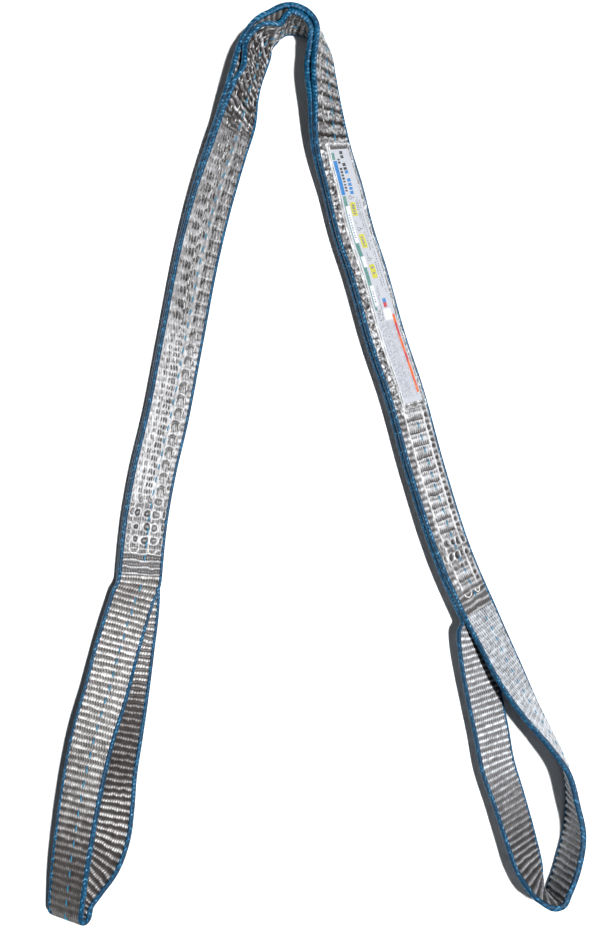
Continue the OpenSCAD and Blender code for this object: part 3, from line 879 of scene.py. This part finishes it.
def left_face(u, s, at):
    """The left leg's upper face, and the inner face of the crown beyond it."""
    pattern = mix(left_weave(u, s), short_weave(u, s), 1 - smooth(SHORT_TO - 30, SHORT_TO, at))
    pattern = mix(pattern, ring_weave(u, s, LEFT_CELLS, LEFT_ROWS), 1 - smooth(RING_TO - 10, RING_TO, at))
    pattern = mix(pattern, comb_weave(u, s), 1 - smooth(COMB_TO - 4, COMB_TO, at))
    # Beyond the shoulder the ply is crushed, and its ribs slant until they are over the bend
    crushed = smooth(LEFT_SHOULDER_AT, LEFT_SHOULDER_AT + 20, at)
    slant = 0.42 * (u - GROUND) * crushed * (1 - smooth(CROWN_AT - 26, CROWN_AT - 8, at))
    return mix(pattern, crushed_weave(u, s + slant), crushed)


def right_face(u, s, at):
    """The right leg's upper face, with round ribs between the crown and the label."""
    end = BODY_L - at
    pattern = mix(right_weave(u, s), ring_weave(u, s, RIGHT_CELLS, RIGHT_ROWS), window(30, 50, end, 6))
    pattern = mix(pattern, comb_weave(u, s), 1 - smooth(COMB_TO - 4, COMB_TO, end))
    pattern = mix(pattern, mottled_weave(u, s), 0.9 * window(LABEL_FROM, LABEL_TO, at, 2))
    # Where the sleeve's ends are turned under, the ply dips into a slot that is painted dark as shade
    for slot_at in (LABEL_FROM + 2.5, LABEL_TO - 1.5):
        slot = window(-1.3, 1.3, at - slot_at, 0.4) * (abs(u - LABEL_OFF) < SLEEVE_HALF - 1.5)
        pattern = pattern[0] * (1 - 0.5 * slot), pattern[1] * (1 - 0.75 * slot)
    round_share = 1 - smooth(RIGHT_SHOULDER_AT - 3, RIGHT_SHOULDER_AT + 3, at)
    return mix(pattern, pillow_weave(u, s), round_share)


def hidden_face(u, s, at):
    """The legs' under side, crushed where it runs on over the crown."""
    near_crown = window(LEFT_SHOULDER_AT, RIGHT_SHOULDER_AT, at, 10)
    return mix(plain_weave(u, s), crushed_weave(u, s), near_crown)


def inner_face(u, s, at):
    """The face of a ply that lies against the other one."""
    height, tone = plain_weave(u, s)
    # Painted shade: a fifth darker, as it lies between the plies.
    return 0.5 * height, 0.8 * tone


def left_eye_outside(u, s, at):
    """Painted shade: darker close to the throat and at the fold, where it turns away from the light."""
    to_fold = left_upper.length - at
    turned = 1 - smooth(45, 100, to_fold)
    height, tone = mix(plain_weave(u, s), inside_weave(u, s), 0.75 * turned)
    return height, tone * (0.86 + 0.16 * smooth(10, 45, at) - 0.54 * (1 - smooth(14, 64, to_fold)))


def left_eye_inside(u, s, at):
    """Painted shade: darkest half-way to the fold, where the upper ply shades it, and darker again more than
    160 mm from the throat.
    """
    height, tone = inside_weave(u, s)
    from_throat = LEFT_EYE_L - at
    return height, tone * (1.1 - 0.45 * window(70, 125, from_throat, 15) - 0.25 * (from_throat > 160))


def fine_weave(u, s):
    """The right eye's upper ply lies flat to the light: rows of small grey ticks on ground painted pale as
    lit, with the ticks and rib valleys painted darker as shade.
    """
    u, s = warped(u, s, 0.25, 520)
    k, phase = phase_of(s, RIB)
    d, j = yarn_gap(u + 0.9 * phase + 0.7 * (k % 2), 1.15 * EYE_YARN)
    own = noise_of(j * 23 + k * 9 + 60)
    tick = smooth(0.35, 0.8, d + 0.4 * (own - 0.5)) * (window(0.08, 0.38, phase, 0.07)
                                                       + 0.8 * window(0.56, 0.90, phase, 0.07))
    rib = np.sin(np.pi * phase) ** 0.5
    # Painted light and shade: pale lit ground, darker ticks and rib valleys.
    tone = 0.82 - 0.50 * tick * (0.5 + 0.7 * own) - 0.18 * (1 - rib) + 0.10 * cloud(u, s, 1.5, 31)
    return 0.5 + 0.5 * rib * (1 - 0.4 * tick), tone


def right_eye_outside(u, s, at):
    """Fine ticks where the upper ply lies flat, and plain ribs where the loop stands up."""
    height, tone = mix(plain_weave(u, s), fine_weave(u, s), 1 - smooth(90, 130, at))
    return height, tone * (1 + 0.12 * smooth(40, 90, at))


def right_eye_inside(u, s, at):
    """Plain ribs by the throat, with narrow bright crests round the turn."""
    from_throat = RIGHT_EYE_L - at
    height, tone = mix(inside_weave(u, s), plain_weave(u, s), 1 - smooth(120, 165, from_throat))
    # Painted shade darkens it 110 to 190 mm from the throat, and painted light brightens it beyond 180 mm,
    # round the turn.
    shade = 1.02 - 0.30 * window(110, 190, from_throat, 15) + 0.25 * smooth(180, 200, from_throat)
    return height, tone * shade


STEP = RIB / 6
# Between the two plies of the body, the faces start this far from the middle
SEAM = 0.05
# The edge yarns' middle lies this far inside a ply's outer face
CORD_IN, CORD_HALF = 1.95, 1.93


def steps(a, b):
    """Lengths from a to b at which the weave is modelled."""
    return np.linspace(a, b, int(round((b - a) / STEP)) + 1)


def half_body(key, at, run, face, top, bottom):
    """The web and the edge yarns of one ply on one half of the body. face is 1 on the inner ply."""
    frames = inner_triplet(at) if face > 0 else body_triplet(at)
    low, high = (SEAM, PLY_T) if face > 0 else (-PLY_T, -SEAM)
    web_mesh(f"{key}_web", at, frames, run, top, bottom, low, high)
    edge_cords(f"{key}_edge_yarns", at, frames, run, face * (PLY_T - CORD_IN), CORD_HALF, -face)


# The weave's lengths start at different places, so that no piece repeats another one's yarns
left_at, right_at = steps(0, CROWN_AT), steps(CROWN_AT, BODY_L)
left_run = fit_run(left_at, CROWN_AT, 0, 4000.0)
right_run = fit_run(right_at, CROWN_AT, BODY_L, 8000.0)
half_body("left_upper", left_at, left_run, 1, left_face, inner_face)
half_body("left_lower", left_at, left_run, -1, inner_face, hidden_face)
half_body("right_lower", right_at, right_run, 1, hidden_face, inner_face)
half_body("right_upper", right_at, right_run, -1, inner_face, right_face)

# The ribs lie closer together near an eye's throat and farther apart at its far end, by this share
RUN_SHIFT = 0.08


def eye_run(at, length):
    """The weave's length along an eye, from its first throat round to its second."""
    share = np.asarray(at) / length
    pairs = round(length / PAIR)
    return pairs * PAIR * (share + RUN_SHIFT * np.sin(2 * np.pi * share) / (2 * np.pi))


def eye(name, frames_of, length, inside, outside, cool):
    """The web and the edge yarns of one eye, from throat to throat."""
    at = steps(0, length)
    frames = frames_of(at)
    run = 500.0 + eye_run(at, length)
    half = PLY_T / 2
    web_mesh(f"{name}_web", at, frames, run, inside, outside, -half, half, cool(at))
    edge_cords(f"{name}_edge_yarns", at, frames, run, 0, half - 0.1, 0)


eye("left_eye", left_eye_at, LEFT_EYE_L, left_eye_inside, left_eye_outside, lambda at: 0 * at)
eye("right_eye", right_eye_at, RIGHT_EYE_L, right_eye_inside, right_eye_outside,
    lambda at: 0.7 - 0.2 * smooth(90, 130, at))


# ---------------------------------------------------------------- markers
DASH_HALF = 2.5


def teal_tone(distance, angle):
    """A dash is darker where it starts."""
    return 0.45 + 0.5 * np.clip(distance / (2 * DASH_HALF), 0, 1)


def marker_dashes(name, at_list, frames_of, face, height):
    """A short bowed yarn over the ribs at each length in at_list, on one face of a ply."""
    pile = Pile()
    along = np.linspace(-1, 1, 11)
    bow = 1 - along ** 2
    for number, at in enumerate(at_list):
        c, e, n = frames_of(at + DASH_HALF * along)
        sway = 0.4 * (noise_of(number * 3) - 0.5) - 0.15 * along
        path = c + (MARKER_AT + sway)[:, None] * e + (face * (height - 0.55 + 0.45 * bow))[:, None] * n
        tube(pile, path, n * face, 0.16 + 0.36 * bow ** 0.5, teal_tone)
    pile.build(name, teal)


def eye_dashes(length):
    """Lengths along an eye at which a dash lies over every second rib."""
    at = np.linspace(0, length, 2000)
    return np.interp(np.arange(PAIR, round(length / PAIR) * PAIR - 6, PAIR), eye_run(at, length), at)


left_dashes = np.arange(10, CROWN_AT - 4, PAIR)
right_dashes = np.concatenate([np.arange(BODY_L - 10, LABEL_TO + 5, -PAIR),
                               np.arange(CROWN_AT + 6, LABEL_FROM - 4, PAIR)])
marker_dashes("left_markers", left_dashes, inner_triplet, 1, PLY_T)
marker_dashes("left_lower_markers", left_dashes, body_triplet, -1, PLY_T)
marker_dashes("right_markers", right_dashes, body_triplet, -1, PLY_T)
marker_dashes("right_lower_markers", right_dashes, inner_triplet, 1, PLY_T)
marker_dashes("left_eye_markers", eye_dashes(LEFT_EYE_L), left_eye_at, -1, PLY_T / 2)
marker_dashes("right_eye_markers", eye_dashes(RIGHT_EYE_L), right_eye_at, -1, PLY_T / 2)


# ---------------------------------------------------------------- sewing
# Length of a stitch that shows, and how much later every second row starts
STITCH, STAGGER = 4.8, 2.5
# How far the closing curves reach along the webbing, and their thread's radius
CURVE_REACH, CURVE_R = 3.2, 0.42


def thread_tone(distance, angle):
    """The twist of the thread."""
    return 0.62 + 0.3 * np.cos(2 * np.pi * distance / 1.1 + angle)


def add_stitch(pile, frames_of, a, b, u, face, height, seed, arch, radius):
    """One visible stitch: it comes out of the ply at a, lies over the ribs and dives in again at b."""
    t = np.linspace(0, 1, 12)
    c, e, n = frames_of(a + (b - a) * t)
    sway = 0.35 * (noise_of(seed) - 0.5) + 0.18 * np.sin(2 * np.pi * (t + noise_of(seed + 1)))
    rise = np.clip(np.minimum(t, 1 - t) * 7, 0, 1)
    lift = height - 0.75 + arch * smooth(0, 1, rise) + 0.1 * np.sin(np.pi * t * 2)
    path = c + (u + sway)[:, None] * e + (face * lift)[:, None] * n
    tube(pile, path, n * face, radius * (0.75 + 0.25 * smooth(0, 0.5, rise)), thread_tone)


def stitch_rows(name, rows, at_from, at_to, frames_of, face):
    """A long row of stitches at each place across the webbing in rows."""
    pile = Pile()
    for number, u in enumerate(rows):
        start = at_from + STAGGER * (number % 2)
        for k, a in enumerate(np.arange(start, at_to - PAIR, PAIR)):
            # At the crown the thread is drawn down between the crushed ribs
            deep = LEFT_SHOULDER_AT < a < RIGHT_SHOULDER_AT
            add_stitch(pile, frames_of, a, a + STITCH, u, face, PLY_T, number * 211 + k,
                       0.0 if deep else 0.35, 0.30 if deep else 0.34)
    pile.build(name, thread)


def throat_curves(pile, frames_of, at, way, rows, face):
    """Thread turned round from each odd row to the next where the long rows end."""
    t = np.linspace(0, np.pi, 13)
    for u0, u1 in zip(rows[::2], rows[1::2]):
        c, e, n = frames_of(at - way * CURVE_REACH * np.sin(t))
        u = (u0 + u1) / 2 + (u0 - u1) / 2 * np.cos(t)
        path = c + u[:, None] * e + (face * (PLY_T - 0.3 + 0 * t))[:, None] * n
        tube(pile, path, n * face, np.full(len(t), CURVE_R), thread_tone)


def throat_stitches(name, frames_of, at, way, rows, face):
    """The closing curves on both faces of a throat."""
    pile = Pile()
    throat_curves(pile, frames_of, at, way, rows, face)
    throat_curves(pile, body_triplet, at, way, HIDDEN_ROWS, -face)
    pile.build(name, thread)


# The long rows start and end this far from the throats
ROWS_FROM = 16.0
ROWS_TO = BODY_L - ROWS_FROM + 4
THROAT_ROWS = [6.4, 0.3, -3.0, -6.9]
stitch_rows("left_stitch_rows", LEFT_ROWS, ROWS_FROM, CROWN_AT - 3, inner_triplet, 1)
stitch_rows("left_lower_stitch_rows", HIDDEN_ROWS, ROWS_FROM, CROWN_AT - 3, body_triplet, -1)
stitch_rows("right_crown_stitch_rows", RIGHT_ROWS, CROWN_AT + 3, LABEL_FROM - 1, body_triplet, -1)
stitch_rows("right_stitch_rows", RIGHT_ROWS, LABEL_TO + 1, ROWS_TO, body_triplet, -1)
stitch_rows("right_lower_stitch_rows", HIDDEN_ROWS, CROWN_AT + 3, ROWS_TO, inner_triplet, 1)
throat_stitches("left_throat_stitches", inner_triplet, ROWS_FROM, 1, LEFT_ROWS, 1)
throat_stitches("right_throat_stitches", body_triplet, BODY_L - ROWS_FROM + 3, -1, THROAT_ROWS, -1)


# ---------------------------------------------------------------- label
# Side of the tag's quads, each of which has one colour
CELL = 0.34
PALE, DARK, GREY = (0.42, 0.435, 0.48), (0.03, 0.03, 0.035), (0.17, 0.18, 0.20)
TEAL_INK, BLUE_INK, YELLOW = (0.075, 0.20, 0.18), (0.015, 0.16, 0.42), (0.46, 0.44, 0.035)
ORANGE, RED, WHITE = (0.58, 0.10, 0.008), (0.42, 0.03, 0.04), (0.60, 0.61, 0.66)
# Printed areas: [from left, to, from top, to, colour]
AREAS = [
    (0.7, 2.7, 2, 6.5, TEAL_INK), (0.7, 3.3, 7, 29, BLUE_INK), (0.9, 3.3, 29.5, 36, TEAL_INK),
    (1.0, 1.6, 36, 60, TEAL_INK), (1.6, 4.4, 36, 60, WHITE), (1.0, 3.8, 60, 69, TEAL_INK),
    (1.0, 1.6, 69, 76, TEAL_INK), (1.6, 4.4, 69, 76, WHITE), (1.0, 3.4, 76, 88, TEAL_INK),
    (1.0, 1.6, 88, 102, TEAL_INK), (1.6, 4.4, 88, 101, WHITE), (1.0, 2.6, 102, 104, TEAL_INK),
    (5.2, 9.0, 34, 43, YELLOW), (5.4, 9.2, 55, 64, YELLOW), (5.5, 9.3, 75, 84, YELLOW),
    (7.8, 10.2, 97, 100, BLUE_INK), (7.8, 10.2, 100, 103, RED), (6.6, 12.0, 104, 111, WHITE),
    (12.0, 13.9, 108, 160, ORANGE)]
# Runs of short bars that stand for print: [from left, bar height, from top, to, bar length, gap, colour]
BARS = [
    (7.0, 2.4, 1.5, 14, 1.9, 0.7, DARK), (7.4, 2.4, 14, 29, 1.9, 0.7, BLUE_INK),
    (4.2, 1.5, 6, 27, 1.3, 0.7, DARK), (6.2, 1.7, 35.5, 42, 1.2, 0.6, GREY),
    (6.4, 1.7, 56.5, 63, 1.2, 0.6, GREY), (6.5, 1.7, 76.5, 83, 1.2, 0.6, GREY),
    (2.4, 1.2, 40, 57, 0.7, 0.9, GREY), (2.4, 1.2, 90, 99, 0.7, 0.9, GREY),
    (9.8, 0.7, 33, 46, 0.9, 0.5, GREY), (10.8, 0.5, 31, 52, 0.8, 0.5, GREY),
    (12.2, 0.5, 33, 94, 0.9, 0.6, GREY), (10.0, 0.7, 54, 66, 0.9, 0.5, GREY),
    (11.0, 0.5, 56, 72, 0.8, 0.5, GREY), (10.2, 0.7, 74, 90, 0.9, 0.5, GREY),
    (5.6, 0.6, 91, 106, 0.8, 0.5, GREY), (6.6, 0.6, 89, 95, 0.8, 0.5, GREY),
    (6.0, 0.6, 46, 49, 0.8, 0.5, GREY), (6.6, 0.6, 67, 70, 0.8, 0.5, GREY)]


def tag_ink(left, top):
    """The colour printed at each place on the tag: plain boxes, bars and grey dashes only."""
    ink = np.empty(left.shape + (3,))
    ink[:] = PALE
    for x0, x1, a0, a1, colour in AREAS:
        ink[(left > x0) & (left < x1) & (top > a0) & (top < a1)] = colour
    for x0, size, a0, a1, length, gap, colour in BARS:
        step = length + gap
        on = ((top - a0) % step < length) & (noise_of((top - a0) // step + 50 * x0) > 0.12)
        ink[(left > x0) & (left < x0 + size) & (top > a0) & (top < a1) & on] = colour
    # A block of fine print, and a small speckled square
    row = np.floor(left / 1.02)
    dash = noise_of(row * 37 + np.floor(top / 0.68)) > 0.42
    fine = (left > 0.9) & (left < 11.6) & (top > 112) & (top < 162) & dash & (left / 1.02 - row < 0.62)
    ink[fine & (noise_of(np.floor(top / 9) * 5 + 3) < 0.97)] = (0.27, 0.28, 0.32)
    square = (left > 1.6) & (left < 5.8) & (top > 104) & (top < 111)
    speckle = noise_of(np.floor(left / 0.6) * 61 + np.floor(top / 0.6)) > 0.5
    ink[square & speckle] = GREY
    # The orange stripe is worn, with redder patches
    stripe = (left > 12.0) & (left < 13.9) & (top > 108) & (top < 160)
    ink[stripe & (cloud(left * 2, top, 3.5, 21) > 0.25)] = RED
    # Line drawings of a hitch above each yellow box
    for a, x in ((31.0, 5.2), (51.5, 5.8), (71.5, 5.8)):
        ring = abs(np.hypot(left - x - 1.2, top - a) - 1.0) < 0.25
        stem = (abs(top - a) < 0.2) & (left > x + 2.2) & (left < x + 4)
        ink[ring | stem] = GREY
    return ink


tag_material, tree, shader = new_material("printed_tag")
soil = web_noise(tree, (0.25, 0.12, 1.0), 4.0)
soiled = node(tree, "ShaderNodeMix", {0: spread(tree, soil, 0.5, 0.8, 0.0, 0.22),
                                      6: stored(tree, "ink", "Color"),
                                      7: (0.42, 0.41, 0.42, 1)}, data_type="RGBA")
feed(tree, shader, {
    "Base Color": soiled.outputs[2], "Roughness": spread(tree, soil, 0.3, 0.7, 0.25, 0.42),
    "Coat Weight": 0.3, "Normal": bumps(tree, soil, 0.25, 0.0006)})

vinyl, tree, shader = new_material("clear_vinyl")
creases = web_noise(tree, (0.9, 0.22, 1.0), 5.0)
# The film's alpha: a faint even film, with painted highlights along its creases and the painted reflections
# stored on the mesh.
film_alpha_and_crease_highlights = spread(tree, creases, 0.56, 0.72, 0.015, 0.22)
feed(tree, shader, {
    "Base Color": (0.86, 0.88, 0.90, 1), "Specular IOR Level": 0.9, "Coat Weight": 0.6,
    "Alpha": maths(tree, "ADD", film_alpha_and_crease_highlights, stored(tree, "painted_sheen"), use_clamp=True),
    "Roughness": spread(tree, creases, 0.3, 0.7, 0.10, 0.24), "Normal": bumps(tree, creases, 0.6, 0.0008)})


def film_painted_sheen(u, at):
    """How much painted reflection whitens the film: a smooth band of it left of the tag, wavy painted
    highlights along creases right of it, and more at both ends.
    """
    off = u - LABEL_OFF
    left_band = 0.50 * window(TAG_W / 2 + 0.1, TAG_W / 2 + 1.9, off, 0.25) * (0.8 + 0.3 * np.sin(at / 9))
    wander = 0.55 * np.sin(at / 5.1) + 0.4 * np.sin(at / 2.3 + 1)
    line = np.exp(-((off + TAG_W / 2 + 1.1 + wander) / 0.38) ** 2)
    right_band = (0.30 * line + 0.03) * smooth(-TAG_W / 2, -TAG_W / 2 - 0.3, off)
    near_end = np.minimum(at - LABEL_FROM, LABEL_TO - at)
    ends = 0.45 * np.exp(-((near_end - 0.7 - 0.5 * np.sin(u * 0.9)) / 0.55) ** 2)
    return np.clip(left_band + right_band + ends, 0, 0.8)


def strip_mesh(name, at, across, low, high, material):
    """A closed strip on the right leg's upper face. low and high give the height off the ply, outwards."""
    uu, aa = np.meshgrid(across, at)
    # The outward side is -n here, so the outward face comes first
    points, faces, web = slab(body_triplet(at), uu, aa, -(PLY_T + high(uu, aa)), -(PLY_T + low(uu, aa)), 9)
    # Painted reflections whiten the film's outer face.
    sheen_paint = film_painted_sheen(uu, aa)
    make(name, points, faces, material, {"web": web, "painted_sheen": round_trip(sheen_paint, 0 * sheen_paint).ravel()})


def print_tag(ob, at, across):
    """Gives each of the tag's faces its printed colour."""
    columns = len(across) - 1
    column, ring = np.meshgrid(np.arange(2 * len(across)), np.arange(len(at) - 1))
    near = np.minimum(column, columns - 1)
    left = across.max() - (across[near] + across[near + 1]) / 2
    ink = tag_ink(left, (at[ring] + at[ring + 1]) / 2 - at[0])
    ink[column >= columns] = PALE
    caps = np.tile(PALE, (len(ob.data.polygons) - column.size, 1))
    every = np.concatenate([ink.reshape(-1, 3), caps])
    layer = ob.data.attributes.new("ink", "FLOAT_VECTOR", "FACE")
    layer.data.foreach_set("vector", every.astype(np.float32).ravel())


def film_wave(u, at):
    """The film's soft buckles, in millimetres, which die out towards the hems."""
    inner = 1 - smooth(0.72, 1.0, abs(u - LABEL_OFF) / SLEEVE_HALF)
    wave = 0.25 * np.sin(at / 5.3 + 0.4 * np.sin(u / 3)) + 0.2 * np.sin(at / 2.9 + u / 2.1)
    ends = np.exp(-(np.minimum(at - LABEL_FROM, LABEL_TO - at) / 4.0) ** 2)
    crumple = 0.6 * ends * np.sin(u * 1.9 + at * 1.1)
    return inner * (0.45 + 0.5 * wave) + crumple


def tag_low(u, at):
    """The tag's under side."""
    return 0.45 + 0.12 * np.sin(at / 9) + 0.08 * np.sin(u / 2.5 + at / 6)


def film_low(u, at):
    """The front film's under side."""
    return 0.95 + 0.8 * np.clip(film_wave(u, at), 0, 2)


def hem_high(u, at):
    """A hem's upper side, puckered by its thread."""
    return 0.75 + 0.25 * np.sin(at / 1.7 + u)


def flat_at(height):
    """The same height everywhere."""
    return lambda u, at: height + 0 * u


tag_at = np.linspace(LABEL_FROM + LABEL_END, LABEL_TO - LABEL_END, int(TAG_L / CELL))
tag_across = np.linspace(LABEL_OFF - TAG_W / 2, LABEL_OFF + TAG_W / 2, int(TAG_W / CELL) + 1)
strip_mesh("printed_tag", tag_at, tag_across, tag_low, lambda u, at: tag_low(u, at) + TAG_T, tag_material)
print_tag(made["printed_tag"], tag_at, tag_across)
film_at = np.linspace(LABEL_FROM, LABEL_TO, 240)
FILM_HALF = SLEEVE_HALF - HEM + 0.1
FILM_T = 0.2
film_across = np.linspace(LABEL_OFF - FILM_HALF, LABEL_OFF + FILM_HALF, 61)
strip_mesh("sleeve_front", film_at, film_across, film_low, lambda u, at: film_low(u, at) + FILM_T, vinyl)
strip_mesh("sleeve_back", film_at[::3], film_across[::4], flat_at(0.05), flat_at(0.2), vinyl)
for mark, u_from in (("a", LABEL_OFF - SLEEVE_HALF), ("b", LABEL_OFF + SLEEVE_HALF - HEM)):
    strip_mesh(f"sleeve_hem_{mark}", film_at, np.linspace(u_from, u_from + HEM, 13), flat_at(0.05),
               hem_high, vinyl)
pile = Pile()
for number, u in enumerate((LABEL_OFF - SLEEVE_HALF + 1, LABEL_OFF + SLEEVE_HALF - 1)):
    for k, a in enumerate(np.arange(LABEL_FROM + 1, LABEL_TO - 6, 6.0)):
        add_stitch(pile, body_triplet, a, a + 4.6, u, -1, PLY_T + 1.0, 500 + 37 * number + k, 0.05, 0.13)
pile.build("sleeve_stitches", thread)

# ---------------------------------------------------------------- what moves with what
def into_eye(ob, where):
    """Bakes the mesh's place into its points. The throat's way out of the body is worked out, but nothing
    bends the mesh with it.
    """
    at, outward = (0, -1) if where == "left" else (BODY_L, 1)
    c, e, n, _ = body_frames(np.array([at]))
    way = np.cross(e[0], n[0]) * outward
    way[2] = 0
    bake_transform(ob)


def settle(name, slot, moves_with, *cad):
    """Hides the nodes that a mesh replaces, and hangs the mesh on the leg that it moves with; at the crown
    and in an eye its place is only baked into its points. slot is not used.
    """
    ob = made[name]
    if cad:
        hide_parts(*cad)
    if moves_with == "crown":
        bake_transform(ob)
    elif moves_with.endswith("_eye"):
        into_eye(ob, moves_with.removesuffix("_eye"))
    else:
        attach(ob, moves_with)


# [length, the webbing's nodes, the edge yarns' nodes]
PLIES = {
    "left_upper": (CROWN_AT, ["left_leg_upper_ply", "left_crown_inner_ply"], ["left_leg_upper_edges"]),
    "left_lower": (CROWN_AT, ["left_leg_lower_ply", "left_crown_outer_ply"],
                   ["left_leg_lower_edges", "left_crown_edges"]),
    "right_lower": (BODY_L - CROWN_AT, ["right_leg_lower_ply", "right_crown_inner_ply"],
                    ["right_leg_lower_edges"]),
    "right_upper": (BODY_L - CROWN_AT, ["right_leg_upper_ply", "right_crown_outer_ply"],
                    ["right_leg_upper_edges", "right_crown_edges"]),
    "left_eye": (LEFT_EYE_L, ["left_eye_upper_ply", "left_eye_fold_ply", "left_eye_lower_ply"],
                 ["left_eye_upper_edges", "left_eye_fold_edges", "left_eye_lower_edges"]),
    "right_eye": (RIGHT_EYE_L, ["right_eye_upper_ply", "right_eye_turn_ply", "right_eye_lower_ply"],
                  ["right_eye_upper_edges", "right_eye_turn_edges", "right_eye_lower_edges"])}
for key, (length, web_nodes, edge_nodes) in PLIES.items():
    moves_with = key if key.endswith("_eye") else "crown"
    settle(f"{key}_web", "silver_webbing", moves_with, *web_nodes)
    settle(f"{key}_edge_yarns", "blue_edge_yarn", moves_with, *edge_nodes)

for row in (
        ("left_markers", "teal_marker_yarn", "crown", "left_leg_markers"),
        ("left_lower_markers", "teal_marker_yarn", "crown"),
        ("right_markers", "teal_marker_yarn", "crown", "right_leg_markers"),
        ("right_lower_markers", "teal_marker_yarn", "crown"),
        ("left_eye_markers", "teal_marker_yarn", "left_eye", "left_eye_marker"),
        ("right_eye_markers", "teal_marker_yarn", "right_eye", "right_eye_marker"),
        ("left_stitch_rows", "sewing_thread", "crown", "left_leg_stitch_rows", "left_crown_stitch_rows"),
        ("left_lower_stitch_rows", "sewing_thread", "crown"),
        ("right_crown_stitch_rows", "sewing_thread", "crown", "right_crown_stitch_rows"),
        ("right_stitch_rows", "sewing_thread", "crown", "right_leg_stitch_rows"),
        ("right_lower_stitch_rows", "sewing_thread", "crown"),
        ("left_throat_stitches", "sewing_thread", "left_leg", "left_throat_stitching"),
        ("right_throat_stitches", "sewing_thread", "right_leg", "right_throat_stitching"),
        ("printed_tag", "printed_tag", "right_leg", "label_tag"),
        ("sleeve_front", "clear_vinyl", "right_leg", "label_sleeve_front"),
        ("sleeve_back", "clear_vinyl", "right_leg", "label_sleeve_back"),
        ("sleeve_hem_a", "clear_vinyl", "right_leg", "label_sleeve_hems"),
        ("sleeve_hem_b", "clear_vinyl", "right_leg"),
        ("sleeve_stitches", "sewing_thread", "right_leg", "label_stitching")):
    settle(*row)

# ---------------------------------------------------------------- floor and light
bpy.ops.mesh.primitive_plane_add(size=6, location=(0, 0, -0.0002))
floor = bpy.context.object
floor.name = "floor"
bpy.context.scene.view_settings.view_transform = "Standard"
floor_material, tree, shader = new_material("floor")
feed(tree, shader, {"Base Color": (0.88, 0.88, 0.88, 1), "Roughness": 0.9})
floor.data.materials.append(floor_material)


def area_light(name, place, size, power, colour=(1, 1, 1)):
    """A light of size metres and power watts that faces the origin."""
    data = bpy.data.lights.new(name, "AREA")
    data.size = size
    data.energy = power
    data.color = colour
    ob = bpy.data.objects.new(name, data)
    bpy.context.scene.collection.objects.link(ob)
    ob.location = place
    ob.rotation_euler = (Vector((0, 0, 0)) - Vector(place)).to_track_quat("-Z", "Y").to_euler()


area_light("key", (0.50, -0.14, 3.2), 0.2, 178)
area_light("fill", (-0.9, -0.5, 1.4), 1.6, 0.12, (0.70, 0.85, 1))
area_light("top", (0.2, 0.4, 1.8), 1.4, 0.12)
world = bpy.data.worlds.new("world")
world.use_nodes = True
feed(world.node_tree, world.node_tree.nodes["Background"], {"Color": (0.80, 0.90, 1, 1), "Strength": 0.05})
bpy.context.scene.world = world

bpy.context.view_layer.update()
